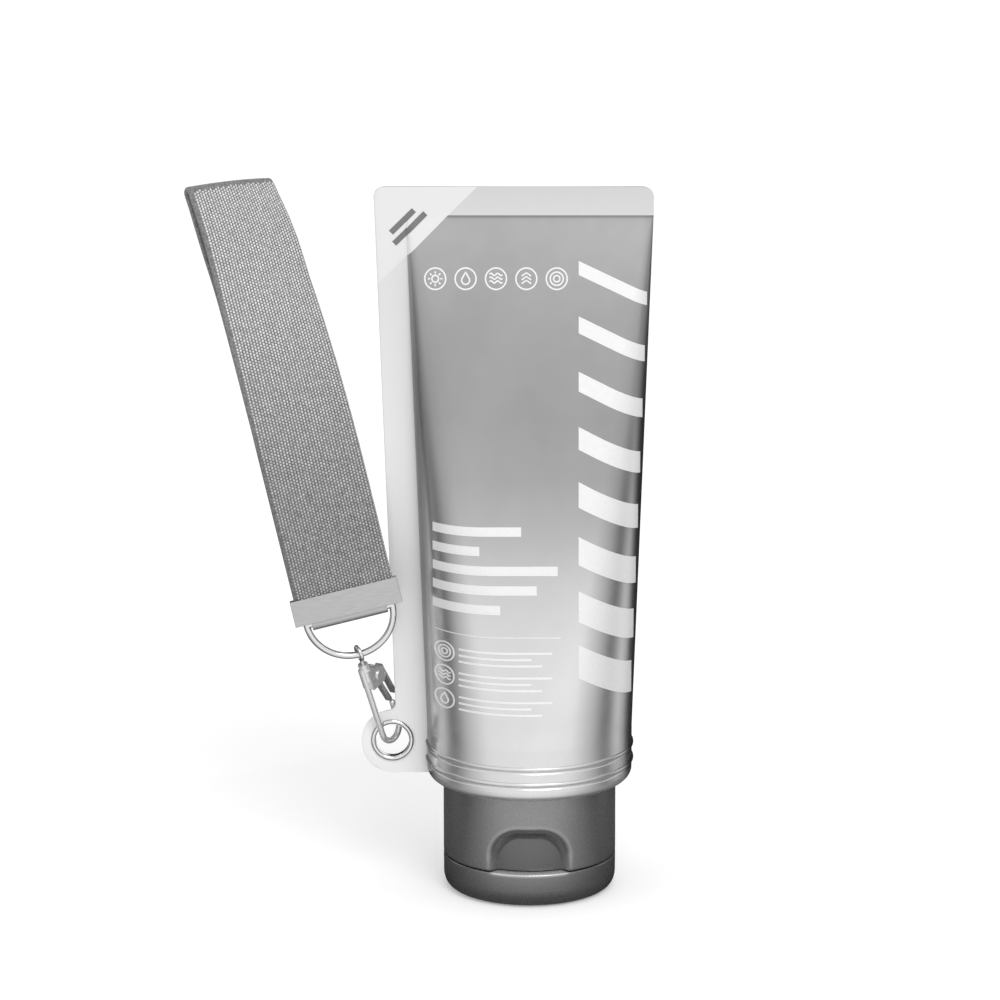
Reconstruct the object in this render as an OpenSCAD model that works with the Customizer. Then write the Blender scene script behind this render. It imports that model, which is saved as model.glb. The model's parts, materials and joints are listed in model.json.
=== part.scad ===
// A squeeze tube of lotion that stands on its flip-top cap, with a clip-on wrist strap.
// Millimetres. +Z is up, the front faces -Y, and the origin is the middle of the cap's foot.

/* [Cap] */
// Outside diameter of the cap
cap_d = 33.7; // [30:0.1:36]
// Height of the cap, from its foot to the tube
cap_h = 22.3; // [20:0.1:28]
// Height of the lid, from its foot to the seam
lid_h = 6.9; // [6.3:0.1:8.5]
// Wall of the cap body and of the lid
cap_wall = 1.2; // [0.9:0.05:1.5]
// Radius of the lid's lower edge
foot_round = 2.9; // [1.8:0.1:3.6]
// Thickness of the lid's foot and of the cap's deck
deck_t = 1.3; // [1:0.05:1.6]
// Gap that shows between the lid and the cap body
seam_gap = 0.2; // [0.1:0.05:0.35]
// Width of the thumb recess
thumb_w = 16.3; // [12:0.1:18]
// Height of the thumb recess above the seam
thumb_h = 8.7; // [7:0.1:10]
// Depth of the thumb recess at its middle
thumb_depth = 2.1; // [1.2:0.1:2.6]
// Radius of the recess's upper corners
thumb_round = 6.2; // [4:0.1:6.5]
// Diameter of the hole that the lotion leaves by
orifice_d = 5; // [3.5:0.1:6]
// Width of the living hinge at the back
hinge_w = 11; // [7:0.5:14]
// Thickness of the hinge's web
hinge_t = 0.6; // [0.4:0.05:0.8]

/* [Tube] */
// Diameter of the tube at its round foot
tube_d = 40; // [38:0.5:44]
// Height of the whole tube, from the cap's foot to the top of the seal
tube_h = 139.3; // [115:0.5:160]
// Width of the flat seal, without the fin
seal_w = 47.4; // [44:0.2:52]
// Height of the crimped seal
seal_h = 5.5; // [4:0.1:7]
// Thickness of the sealed film, in the seal, the fin and the tab
seal_t = 0.8; // [0.6:0.05:1]
// Thickness of the film round the lotion
film_t = 0.5; // [0.35:0.05:0.7]
// Height of the straight collar above the cap
collar_h = 10.5; // [9:0.1:13]
// Radius of the collar's lower edge
collar_round = 2; // [1:0.1:2.4]
// Height of the lower bead above the collar's foot
bead_up = 3.8; // [3:0.1:4.5]
// Distance from one bead to the next
bead_pitch = 3.1; // [2:0.1:3.6]
// Diameter of the tube's neck
neck_d = 19; // [16:0.1:21]

/* [Fin and eyelet] */
// Width of the fin beside the tube
fin_w = 6.1; // [4.5:0.1:6.3]
// Radius of the tab that the fin ends in
tab_r = 6; // [5.6:0.1:6.6]
// Distance from the tube's side to the eyelet's middle
eyelet_out = 6.8; // [6.6:0.1:7.6]
// Height of the eyelet's middle above the tube's foot
eyelet_up = 7.1; // [6.8:0.1:8]
// Diameter of the hole through the eyelet
eyelet_bore = 6.5; // [6.3:0.1:6.8]
// Width of the eyelet's rolled edge
roll_w = 1; // [0.8:0.05:1.1]

/* [Clasp] */
// Lean of the clasp to the left
clasp_lean = 15.3; // [10:0.1:18]
// Lean of the clasp to the front
clasp_tip = 15.5; // [12:0.5:16]
// Turn of the hook about the clasp's own line
hook_yaw = 50; // [46:1:56]
// Radius of the hook's bend, to the middle of its wire
hook_r = 2.6; // [2.5:0.05:2.8]
// Diameter of the hook's wire
hook_wire = 1.2; // [1:0.05:1.3]
// Height of the gate's rivet above the middle of the bend
rivet_up = 12.5; // [12:0.1:13.5]
// Diameter of the fork's round cheeks
boss_d = 3.7; // [3.6:0.1:4]
// Height of the swivel ring's middle above the middle of the bend
eye_up = 18.6; // [18:0.1:20]

/* [Ring and ferrule] */
// Radius of the D-ring, to the middle of its wire
ring_r = 8.5; // [8:0.05:8.8]
// Diameter of the D-ring's wire
ring_wire = 1.3; // [1:0.05:1.4]
// Lean of the D-ring, the ferrule and the strap to the left
ring_lean = 12.7; // [10:0.1:16]
// Lean of the D-ring to the front
ring_tip = 8; // [6:0.5:12]
// Turn of the D-ring, the ferrule and the strap's foot to the right
ring_yaw = 4; // [0:1:12]
// Width of the ferrule
ferrule_w = 21.2; // [20.8:0.1:22.5]
// Height of the ferrule's clamp
ferrule_h = 5; // [4:0.1:6.5]
// Sheet that the ferrule is folded from
ferrule_sheet = 0.5; // [0.4:0.05:0.7]

/* [Strap] */
// Width of the webbing
strap_w = 19.6; // [18:0.1:19.8]
// Thickness of the webbing
strap_t = 1; // [0.8:0.05:1.2]
// Length of the loop from the ferrule to its fold
loop_len = 82.5; // [60:0.5:110]
// Gap between the loop's two layers at the fold
fold_gap = 0.8; // [0.5:0.1:1.5]
// Widest gap between the two layers, a little below the fold
loop_gap = 1.8; // [1:0.1:3]
// Lean of the strap back from the D-ring
strap_back = 16; // [0:0.5:20]
// Bend of the loop to the back, from the ferrule to its fold
bend_angle = 43; // [5:1:50]
// Slant of that bend across the webbing
bend_slant = 57; // [0:1:60]

/* [Hidden] */
$fn = 64;

// Clearances and the overrun that every cut shares
cut_over = 1;
weld_gap = 0.05;
seat_gap = 0.1;
pin_gap = 0.25;
run_gap = 0.08;
fill_gap = 0.25;
snap_gap = 0.1;

// Places and sizes inside the cap
cap_r = cap_d / 2;
deck_z = lid_h + seam_gap;
deck_top = deck_z + deck_t;
orifice_r = orifice_d / 2;
pin_r = orifice_r - pin_gap;
pin_rise = 0.8;
spout_t = 1.5;
spout_drop = 0.9;
deck_rim_t = 1;
deck_rim_drop = 1;
deck_rim_gap = 0.3;
lip_t = 1.4;
hinge_off = hinge_t / 2 + seat_gap;
hinge_leaf = 2.8;
hinge_y = cap_r + hinge_off;
hinge_z = lid_h + seam_gap / 2;

// Places and sizes of the tube's head
tube_r = tube_d / 2;
neck_r = neck_d / 2;
neck_wall = 1.7;
neck_foot = deck_top + fill_gap;
neck_sleeve_t = 1;
neck_sleeve_drop = 3.4;
snap_r = 0.5;
snap_proud = 0.35;
snap_z = (deck_top + cap_h - neck_sleeve_drop) / 2;
lip_hole_r = tube_r - collar_round - neck_sleeve_t;
bead_r = 0.42;
bead_proud = 0.34;
skirt_t = 1.2;
skirt_short = 1.2;
plate_t = 1.5;
taper_z = cap_h + collar_h;
seal_z = tube_h - seal_h;
seal_round = 2;
cavity_tip = 1;
cavity_t = 0.3;
fill_tip = 3;
skin = 0.01;
hull_fn = 72;
fine_fn = 240;
corner_steps = 8;

// Places and sizes round the eyelet
eyelet_x = -(tube_r + eyelet_out);
eyelet_z = cap_h + eyelet_up;
eyelet_r = eyelet_bore / 2;
barrel_t = 0.3;
barrel_r = eyelet_r + barrel_t;
tab_hole_r = barrel_r + weld_gap;
tab_drop = 0.6;
roll_h = 0.5;
back_roll_w = 0.85;
back_roll_h = 0.35;
washer_t = 0.3;
washer_r = tab_r - roll_w;

// Places and sizes of the clasp, in its own frame: its line is z, and x runs from the bar to the tip
hook_offset_shares = [-0.4, 0.45, 2.3];
hook_at = [eyelet_x, 0, eyelet_z] + roll_w * hook_offset_shares;
hook_wr = hook_wire / 2;
tip_up = 4.3;
rivet_x = 0.3;
boss_r = boss_d / 2;
rivet_r = 0.42;
rivet_head_r = 0.95;
rivet_head_t = 0.3;
fork_t = 2.8;
slot_t = 1.7;
knuckle_r = 1.5;
knuckle_t = 1;
knuckle_y = 0.25;
arm_w = 0.9;
arm_r = 7.3;
arm_x = hook_r - arm_w / 2;
lever_w = 1.4;
lever_t = 0.55;
lever_root = [2, 0.9];
lever_end = [3.4, -6.4];
spring_r = 0.85;
spring_wire = 0.35;
spring_y = -0.53;
spring_leg = 1.2;
spring_leg_d = 0.32;
collar_rise = 2.8;
collar_z = rivet_up + collar_rise;
collar_t = 1;
collar_r = 1;
stem_x = -1.8;
stem_r = 0.36;
stem_head_r = 0.65;
stem_head_t = 0.4;
stem_head_gap = 0.15;
eye_wire = 0.8;
eye_gap = 0.3;
eye_r = (ring_wire + eye_wire) / 2 + eye_gap;
eye_lift = eye_gap - seat_gap;
eye_yaw = 20;

// Places and sizes of the D-ring, the ferrule and the strap
function up_dir(lean, tip) = [-sin(lean) * cos(tip), -sin(tip), cos(lean) * cos(tip)];
function side_dir(lean, tip, yaw) = [cos(lean) * cos(yaw) - sin(lean) * sin(tip) * sin(yaw),
    cos(tip) * sin(yaw), sin(lean) * cos(yaw) + cos(lean) * sin(tip) * sin(yaw)];
stem_at = hook_at + stem_x * side_dir(clasp_lean, clasp_tip, hook_yaw);
eye_at = stem_at + eye_up * up_dir(clasp_lean, clasp_tip);
bar_at = eye_at + ring_r * up_dir(ring_lean, ring_tip);
ring_wr = ring_wire / 2;
tunnel_gap = 0.4;
tunnel_r = ring_wr + run_gap + ferrule_sheet;
tunnel_half = ring_r - ring_wr - tunnel_gap;
clamp_z = 0.2;
clamp_top = clamp_z + ferrule_h;
layer_gap = 0.2;
layer_mid = (strap_t + layer_gap) / 2;
ferrule_t = 2 * (strap_t + ferrule_sheet) + layer_gap + 2 * seat_gap;
strap_foot = tunnel_r + seat_gap;
fold_half = (strap_t + fold_gap) / 2;
fold_z = clamp_top + loop_len - fold_half;
run_steps = 24;
fold_steps = 10;
bulge_share = 0.28;
bulge_z = fold_z - loop_len * bulge_share;
bend_start = clamp_top * cos(bend_slant) + strap_w / 2 * sin(bend_slant);
bend_r = (fold_z * cos(bend_slant) - bend_start) * 180 / (PI * bend_angle);

// Helpers

// Puts its children at a point and leans them left, then front, then turns them about their own line
module set_at(at, lean, tip, yaw) {
    translate(at) rotate([0, -lean, 0]) rotate([tip, 0, 0]) rotate([0, 0, yaw]) children();
}

// Puts its children in the clasp's own frame
module clasp_frame() set_at(hook_at, clasp_lean, clasp_tip, hook_yaw) children();

// Puts its children in the ferrule's frame, whose x runs along the D-ring's bar
module strap_frame() set_at(bar_at, ring_lean, ring_tip, ring_yaw) rotate([-strap_back, 0, 0]) children();

// A flat ring, from an inner to an outer radius
module ring_2d(inner, outer) {
    difference() {
        circle(outer);
        circle(inner);
    }
}

// A flat bar with round ends between two points
module link_2d(a, b, w) {
    d = b - a;
    translate(a) circle(w / 2);
    translate(b) circle(w / 2);
    translate(a) rotate(atan2(d[1], d[0])) translate([0, -w / 2]) square([norm(d), w]);
}

// Points of one rounded corner, from one angle to another
function corner(at, r, from, to) =
    [for (i = [0:corner_steps]) at + r * [cos(from + (to - from) * i / corner_steps),
        sin(from + (to - from) * i / corner_steps)]];

// Stands a flat outline up in the XZ plane, with its thickness centred on a given y
module stand(t, y = 0) translate([0, y + t / 2, 0]) rotate([90, 0, 0]) linear_extrude(t) children();

// A rectangle of the profile of a turned piece, between two radii and two heights
module band(r0, r1, z0, z1) translate([r0, z0]) square([r1 - r0, z1 - z0]);

// The rounded collar's half profile, drawn in by a wall
module collar_half(inset) {
    band(0, tube_r - inset, cap_h + collar_round, taper_z + (inset > 0 ? cut_over : 0));
    band(0, tube_r - collar_round, cap_h + inset, cap_h + 2 * collar_round);
    translate([tube_r - collar_round, cap_h + collar_round]) circle(collar_round - inset);
}

// The thumb recess's outline, grown by a wall
module thumb_2d(grow) {
    half = thumb_w / 2 + grow;
    inner = thumb_w / 2 - thumb_round;
    r = thumb_round + grow;
    square_top = thumb_h - thumb_round;
    translate([-half, 0]) square([2 * half, square_top]);
    translate([-inner, 0]) square([2 * inner, thumb_h + grow]);
    for (side = [-1, 1]) translate([side * inner, square_top]) circle(r);
}

// A block of the recess's outline above the seam, from the front to a given depth
module thumb_block(grow, front, depth) {
    translate([0, -cap_r - front, deck_z]) rotate([90, 0, 0]) translate([0, 0, -depth - front])
        linear_extrude(depth + front) intersection() {
            thumb_2d(grow);
            translate([-cap_r, 0]) square([cap_d, cap_h]);
        }
}

// A taper from a round foot to a flat top, for the tube's film and its contents
module taper(foot_r, foot_z, flat_w, flat_t, flat_z) {
    hull() {
        translate([0, 0, foot_z]) cylinder(r = foot_r, h = skin, $fn = hull_fn);
        for (side = [-1, 1]) translate([side * (flat_w - flat_t) / 2, 0, flat_z - skin])
            cylinder(d = flat_t, h = skin, $fn = hull_fn / 4);
    }
}

// Tube

// The flat outline of the seal, the fin and the tab
module flat_2d() {
    fin_top = -(seal_w / 2 + fin_w);
    fin_foot = -(tube_r + fin_w);
    right = seal_w / 2;
    polygon(concat(
        [[right, seal_z], [right, tube_h - seal_round]],
        corner([right - seal_round, tube_h - seal_round], seal_round, 0, 90),
        corner([fin_top + seal_round, tube_h - seal_round], seal_round, 90, 180),
        [[fin_foot, taper_z], [eyelet_x, eyelet_z], [eyelet_x, eyelet_z - tab_r - tab_drop],
        [-(tube_r - collar_round), eyelet_z - tab_r - tab_drop], [-(tube_r - collar_round), seal_z]]
    ));
    for (drop = [0, tab_drop]) translate([eyelet_x, eyelet_z - drop]) circle(tab_r);
}

module tube_sleeve() {
    color("gainsboro") difference() {
        union() {
            rotate_extrude() {
                collar_half(0);
                for (i = [0, 1]) translate([tube_r + bead_proud - bead_r, cap_h + bead_up + i * bead_pitch])
                    circle(bead_r);
            }
            taper(tube_r, taper_z - skin, seal_w, seal_t, seal_z + skin);
            stand(seal_t) flat_2d();
        }
        rotate_extrude() {
            collar_half(film_t);
            band(0, lip_hole_r, cap_h - cut_over, cap_h + collar_round);
        }
        taper(tube_r - film_t, taper_z - skin, seal_w - 2 * film_t - seal_t, cavity_t, seal_z - cavity_tip);
        translate([eyelet_x, 0, eyelet_z]) rotate([90, 0, 0])
            cylinder(r = tab_hole_r, h = seal_t + 2 * cut_over, center = true);
    }
}

module shoulder() {
    foot = cap_h + film_t + weld_gap;
    skirt_r = tube_r - film_t - weld_gap;
    color("whitesmoke") rotate_extrude() difference() {
        union() {
            intersection() {
                band(0, skirt_r, foot, taper_z - skirt_short);
                collar_half(film_t + weld_gap);
            }
            band(0, neck_r, neck_foot, foot + plate_t);
            translate([neck_r - snap_r + snap_proud, snap_z]) circle(snap_r);
        }
        band(0, skirt_r - skirt_t, foot + plate_t, taper_z);
        band(0, neck_r - neck_wall, neck_foot - cut_over, taper_z);
    }
}

module lotion_fill() {
    plate_top = cap_h + film_t + weld_gap + plate_t;
    skirt_in = tube_r - film_t - weld_gap - skirt_t;
    color("ivory") {
        rotate_extrude() {
            band(0, neck_r - neck_wall - fill_gap, neck_foot, plate_top + cut_over);
            band(0, skirt_in - fill_gap, plate_top + fill_gap, taper_z + skin);
        }
        taper(tube_r - film_t - fill_gap, taper_z, seal_w - 2 * film_t - seal_t - 2 * fill_gap,
            cavity_t, seal_z - cavity_tip - fill_tip);
    }
}

// Cap

module cap_body() {
    sleeve_r = neck_r + snap_gap;
    top = cap_h - seat_gap;
    color("dimgray") difference() {
        union() {
            rotate_extrude() {
                band(cap_r - cap_wall, cap_r, deck_z, top);
                band(orifice_r, cap_r - cap_wall / 2, deck_z, deck_top);
                difference() {
                    band(sleeve_r, sleeve_r + neck_sleeve_t, deck_z, cap_h - neck_sleeve_drop);
                    translate([neck_r - snap_r + snap_proud, snap_z]) circle(snap_r + snap_gap);
                }
                band(orifice_r, orifice_r + spout_t, deck_z - spout_drop, deck_top);
                band(cap_r - cap_wall - deck_rim_gap - deck_rim_t, cap_r - cap_wall - deck_rim_gap,
                    deck_z - deck_rim_drop, deck_top);
            }
            intersection() {
                translate([0, 0, deck_z]) cylinder(r = cap_r - cap_wall / 2, h = cap_h);
                thumb_block(cap_wall, 0, thumb_depth + cap_wall);
            }
        }
        thumb_block(0, cut_over, thumb_depth);
        translate([0, 0, deck_z - deck_rim_drop - cut_over]) linear_extrude(deck_rim_drop + cut_over)
            translate([-cap_r, -cap_r - cut_over])
            square([cap_d, thumb_depth + cap_wall + deck_rim_gap + cut_over]);
    }
}

module cap_lid() {
    inner_r = cap_r - cap_wall;
    inner_round = max(foot_round - cap_wall, cap_wall / 2);
    color("dimgray") {
        rotate_extrude() difference() {
            union() {
                band(0, cap_r, foot_round, lid_h);
                band(0, cap_r - foot_round, 0, lid_h);
                intersection() {
                    translate([cap_r - foot_round, foot_round]) circle(foot_round);
                    band(0, cap_r, 0, lid_h);
                }
            }
            band(pin_r, inner_r, deck_t + inner_round, lid_h + cut_over);
            band(pin_r, inner_r - inner_round, deck_t, lid_h);
            translate([inner_r - inner_round, deck_t + inner_round]) circle(inner_round);
        }
        cylinder(r = pin_r, h = deck_z + pin_rise);
        intersection() {
            translate([0, 0, lid_h - lip_t]) cylinder(r = cap_r - cap_wall / 2, h = lip_t);
            translate([-thumb_w / 2 - cap_wall, -cap_r, 0])
                cube([thumb_w + 2 * cap_wall, thumb_depth + cap_wall, lid_h]);
        }
    }
}

module living_hinge() {
    color("dimgray") {
        translate([-hinge_w / 2, hinge_y, hinge_z]) rotate([0, 90, 0]) cylinder(d = hinge_t, h = hinge_w);
        difference() {
            translate([-hinge_w / 2, 0, lid_h - hinge_leaf])
                cube([hinge_w, hinge_y + hinge_t / 4, hinge_leaf]);
            translate([0, 0, -cut_over]) cylinder(r = cap_r, h = lid_h + 2 * cut_over, $fn = fine_fn);
        }
    }
}

// Eyelet

// Turns a profile about the eyelet's line, with its second coordinate running to the back
module eyelet_turn() translate([eyelet_x, 0, eyelet_z]) rotate([-90, 0, 0]) rotate_extrude() children();

// Half of a rolled edge, which stands on a face and bulges away from it
module roll_2d(inner, w, h, face, side) {
    translate([inner, face]) intersection() {
        translate([w / 2, 0]) circle(w / 2);
        translate([0, side > 0 ? 0 : -h]) square([w, h]);
    }
}

module eyelet() {
    back = seal_t / 2 + washer_t;
    color("silver") eyelet_turn() {
        band(eyelet_r, barrel_r, -seal_t / 2 - roll_h / 2, back + back_roll_h / 2);
        roll_2d(eyelet_r, roll_w, roll_h, -seal_t / 2, -1);
        roll_2d(eyelet_r, back_roll_w, back_roll_h, back, 1);
    }
}

module eyelet_washer() {
    color("silver") eyelet_turn() band(tab_hole_r, washer_r, seal_t / 2, seal_t / 2 + washer_t);
}

// Clasp

module clasp_body() {
    color("gainsboro") clasp_frame() {
        rotate([-90, 0, 0]) rotate_extrude(angle = 180) translate([hook_r, 0]) circle(hook_wr);
        translate([hook_r, 0, 0]) cylinder(r = hook_wr, h = tip_up);
        translate([hook_r, 0, tip_up]) sphere(hook_wr);
        fork();
    }
}

// The fork that holds the gate, with the collar that the swivel turns in
module fork() {
    slot_r = knuckle_r + pin_gap;
    web_x = hook_wr / 2 - hook_r;
    difference() {
        union() {
            stand(fork_t) {
                translate([rivet_x, rivet_up]) circle(boss_r);
                polygon([[web_x, rivet_up - boss_r], [rivet_x, rivet_up - boss_r],
                    [rivet_x, rivet_up + boss_r], [stem_x + collar_r, collar_z - stem_head_t],
                    [web_x, collar_z - stem_head_t]]);
            }
            translate([-hook_r, 0, 0]) cylinder(r = hook_wr, h = collar_z);
            translate([stem_x, 0, rivet_up]) cylinder(r = collar_r, h = collar_z - rivet_up + collar_t);
        }
        stand(slot_t) {
            translate([rivet_x, rivet_up]) circle(slot_r);
            translate([rivet_x - arm_w, rivet_up - boss_r - cut_over])
                square([boss_d + arm_w, boss_r + cut_over]);
            translate([rivet_x, rivet_up - lever_t]) square([boss_d, collar_z - rivet_up + lever_t]);
        }
        translate([stem_x, 0, collar_z - stem_head_t - 2 * stem_head_gap])
            cylinder(r = stem_head_r + seat_gap, h = stem_head_t + 2 * stem_head_gap);
        translate([stem_x, 0, collar_z - stem_head_t])
            cylinder(r = stem_r + run_gap, h = collar_t + stem_head_t + cut_over);
        translate([rivet_x, 0, rivet_up]) rotate([90, 0, 0])
            cylinder(r = rivet_r, h = fork_t + 2 * cut_over, center = true);
    }
}

module clasp_gate() {
    pivot = [rivet_x, rivet_up];
    arm_end = [arm_x, rivet_up - sqrt(arm_r * arm_r - (arm_x - rivet_x) * (arm_x - rivet_x))];
    color("silver") clasp_frame() {
        difference() {
            stand(knuckle_t, knuckle_y) {
                translate(pivot) circle(knuckle_r);
                link_2d(pivot, arm_end, arm_w);
                link_2d(pivot, pivot + lever_root, lever_t);
            }
            translate([rivet_x, 0, rivet_up]) rotate([90, 0, 0])
                cylinder(r = rivet_r + run_gap, h = fork_t, center = true);
        }
        stand(lever_w) link_2d(pivot + lever_root, pivot + lever_end, lever_t);
    }
}

module gate_rivet() {
    color("gray") clasp_frame() translate([rivet_x, 0, rivet_up]) rotate([90, 0, 0]) {
        cylinder(r = rivet_r, h = fork_t + rivet_head_t, center = true);
        for (side = [-1, 1]) translate([0, 0, side * (fork_t + rivet_head_t) / 2])
            cylinder(r = rivet_head_r, h = rivet_head_t, center = true);
    }
}

module gate_spring() {
    color("dimgray") clasp_frame() translate([rivet_x, spring_y, rivet_up]) {
        rotate([90, 0, 0]) rotate_extrude() translate([spring_r, 0]) circle(d = spring_wire);
        translate([-spring_r, 0, -spring_leg]) cylinder(d = spring_leg_d, h = spring_leg);
    }
}

module swivel_eye() {
    eye_z = eye_up + eye_lift;
    head_z = collar_z - stem_head_gap - stem_head_t;
    color("gainsboro") set_at(stem_at, clasp_lean, clasp_tip, 0) {
        translate([0, 0, eye_z]) rotate([0, 0, eye_yaw]) rotate([0, 90, 0]) rotate_extrude()
            translate([eye_r, 0]) circle(d = eye_wire);
        translate([0, 0, head_z]) cylinder(r = stem_r, h = eye_z - eye_r - head_z);
        translate([0, 0, head_z]) cylinder(r = stem_head_r, h = stem_head_t);
    }
}

// Ring, ferrule and strap

module d_ring() {
    color("gainsboro") set_at(eye_at, ring_lean, ring_tip, ring_yaw) translate([0, 0, ring_r]) {
        rotate([-90, 0, 0]) rotate_extrude(angle = 180) translate([ring_r, 0]) circle(ring_wr);
        translate([-ring_r, 0, 0]) rotate([0, 90, 0]) cylinder(r = ring_wr, h = 2 * ring_r);
        for (side = [-1, 1]) translate([side * ring_r, 0, 0]) sphere(ring_wr);
    }
}

module strap_ferrule() {
    pocket_t = 2 * strap_t + layer_gap + 2 * seat_gap;
    color("silver") strap_frame() difference() {
        union() {
            rotate([0, 90, 0]) cylinder(r = tunnel_r, h = 2 * tunnel_half, center = true);
            translate([-ferrule_w / 2, -ferrule_t / 2, clamp_z]) cube([ferrule_w, ferrule_t, ferrule_h]);
        }
        rotate([0, 90, 0]) cylinder(r = ring_wr + run_gap, h = ferrule_w, center = true);
        translate([-strap_w / 2 - seat_gap, -pocket_t / 2, tunnel_r])
            cube([strap_w + 2 * seat_gap, pocket_t, ferrule_h]);
    }
}

// Share of the way from one height to another, plain and eased at both ends
function way(z, from, to) = min(1, max(0, (z - from) / (to - from)));
function eased(z, from, to) = let (t = way(z, from, to)) t * t * (3 - 2 * t);

// Half the distance between the middles of the loop's layers at a height: they part in a drop below the fold
function layer_at(z) = layer_mid + (fold_half - layer_mid) * eased(z, bulge_z, fold_z)
    + (loop_gap - fold_gap) / 2 * pow(sin(180 * way(z, bulge_z, fold_z)), 2);

// The loop's line in its own side view, up the front, round the fold and down the back: [y, z]
run_heights = [for (i = [0:run_steps]) strap_foot + (fold_z - strap_foot) * i / run_steps];
loop_line = concat(
    [for (z = run_heights) [-layer_at(z), z]],
    [for (i = [1:fold_steps - 1]) [-fold_half * cos(180 * i / fold_steps),
        fold_z + fold_half * sin(180 * i / fold_steps)]],
    [for (i = [run_steps:-1:0]) [layer_at(run_heights[i]), run_heights[i]]]
);

// Bends a point of the loop to the back on an arc, about a line that runs slanted across the webbing
function loop_turn(p) = let (
    along = p[0] * cos(bend_slant) - p[2] * sin(bend_slant),
    out = p[0] * sin(bend_slant) + p[2] * cos(bend_slant),
    bend = max(0, out - bend_start) * 180 / (PI * bend_r),
    y = bend_r - (bend_r - p[1]) * cos(bend),
    up = min(out, bend_start) + (bend_r - p[1]) * sin(bend)
) [along * cos(bend_slant) + up * sin(bend_slant), y, up * cos(bend_slant) - along * sin(bend_slant)];

// The four corners of the webbing at one point of the line
function loop_ring(i) = let (
    last = len(loop_line) - 1,
    d = loop_line[min(last, i + 1)] - loop_line[max(0, i - 1)],
    out = [-d[1], d[0]] / norm(d) * strap_t / 2,
    p = loop_line[i]
) [for (c = [[-1, 1], [1, 1], [1, -1], [-1, -1]])
    loop_turn([c[0] * strap_w / 2, p[0] + c[1] * out[0], p[1] + c[1] * out[1]])];

module webbing_strap() {
    rings = len(loop_line);
    points = [for (i = [0:rings - 1]) each loop_ring(i)];
    sides = [for (i = [0:rings - 2]) for (k = [0:3]) let (a = 4 * i + k, b = 4 * i + (k + 1) % 4)
        each [[a, b + 4, b], [a, a + 4, b + 4]]];
    far = 4 * (rings - 1);
    ends = [[0, 1, 2], [0, 2, 3], [far, far + 2, far + 1], [far, far + 3, far + 2]];
    color("gray") strap_frame() polyhedron(points, concat(sides, ends));
}

tube_sleeve();
shoulder();
lotion_fill();
cap_body();
cap_lid();
living_hinge();
eyelet();
eyelet_washer();
clasp_body();
clasp_gate();
gate_rivet();
gate_spring();
swivel_eye();
d_ring();
strap_ferrule();
webbing_strap();
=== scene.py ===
# %% [markdown]
# # A tube of sun lotion with a clip-on wrist strap
# The real object is a film tube that stands on its flip-top cap. A flat fin runs down its left side and
# ends in a round tab with a metal eyelet, and a small swivel clasp hangs a loop of webbing from that eyelet.
# The hard pieces come from a finished engineering model. This script dresses them: it builds the film, the
# cap's soft edges and the webbing as fine meshes, and it gives every piece a procedural finish.
# The first cell loads the model, hangs its parts on their moving bodies and reads its joints.

# %% Load the imported model
import json
import math

import bmesh
import bpy
from mathutils import Matrix, Vector

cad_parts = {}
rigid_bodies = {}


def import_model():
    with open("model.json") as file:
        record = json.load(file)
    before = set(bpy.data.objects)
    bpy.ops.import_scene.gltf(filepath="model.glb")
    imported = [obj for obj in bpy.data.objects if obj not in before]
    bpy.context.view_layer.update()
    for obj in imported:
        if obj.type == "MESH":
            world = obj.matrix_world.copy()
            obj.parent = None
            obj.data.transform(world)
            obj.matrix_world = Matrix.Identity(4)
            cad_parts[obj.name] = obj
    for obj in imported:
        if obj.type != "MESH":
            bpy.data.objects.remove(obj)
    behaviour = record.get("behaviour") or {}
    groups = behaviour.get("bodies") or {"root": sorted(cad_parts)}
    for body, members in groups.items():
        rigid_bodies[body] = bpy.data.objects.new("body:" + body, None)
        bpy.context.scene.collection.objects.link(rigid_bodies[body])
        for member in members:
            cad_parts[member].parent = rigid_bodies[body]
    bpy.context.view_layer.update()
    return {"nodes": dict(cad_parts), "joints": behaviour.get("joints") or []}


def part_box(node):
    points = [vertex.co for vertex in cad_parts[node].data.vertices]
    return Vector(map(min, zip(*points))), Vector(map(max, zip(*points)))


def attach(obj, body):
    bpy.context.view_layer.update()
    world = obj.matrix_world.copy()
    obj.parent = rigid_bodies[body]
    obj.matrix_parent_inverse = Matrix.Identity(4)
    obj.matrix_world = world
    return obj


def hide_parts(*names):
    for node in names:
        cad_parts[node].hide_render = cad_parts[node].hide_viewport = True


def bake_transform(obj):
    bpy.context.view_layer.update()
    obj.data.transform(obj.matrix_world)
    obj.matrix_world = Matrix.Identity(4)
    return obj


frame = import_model()
MM = 0.001

# %% [markdown]
# ## Meshes from rings
# Most pieces here are skins over a stack of outlines that all have the same number of points: the tube, the
# cap, the webbing. Curves could be lofted instead, but rings worked out by a formula are easy to check and to
# change. One helper turns such rings into a mesh. It works in millimetres, merges points that fall together,
# turns the faces outwards, and marks the edges that stay crisp when the rest is shaded smooth.

# %% A helper that skins a stack of rings
CRISP_DEG = 32
MERGE = 1e-6


def finish_mesh(name, bm):
    """Clean a bmesh, turn its faces outwards, shade it smooth but for its crisp edges, and link it."""
    bmesh.ops.remove_doubles(bm, verts=bm.verts, dist=MERGE)
    bmesh.ops.dissolve_degenerate(bm, edges=bm.edges, dist=MERGE)
    bmesh.ops.recalc_face_normals(bm, faces=bm.faces)
    for face in bm.faces:
        face.smooth = True
    for edge in bm.edges:
        edge.smooth = len(edge.link_faces) == 2 and edge.calc_face_angle() < math.radians(CRISP_DEG)
    mesh = bpy.data.meshes.new(name)
    bm.to_mesh(mesh)
    bm.free()
    piece = bpy.data.objects.new(name, mesh)
    bpy.context.scene.collection.objects.link(piece)
    return piece


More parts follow.
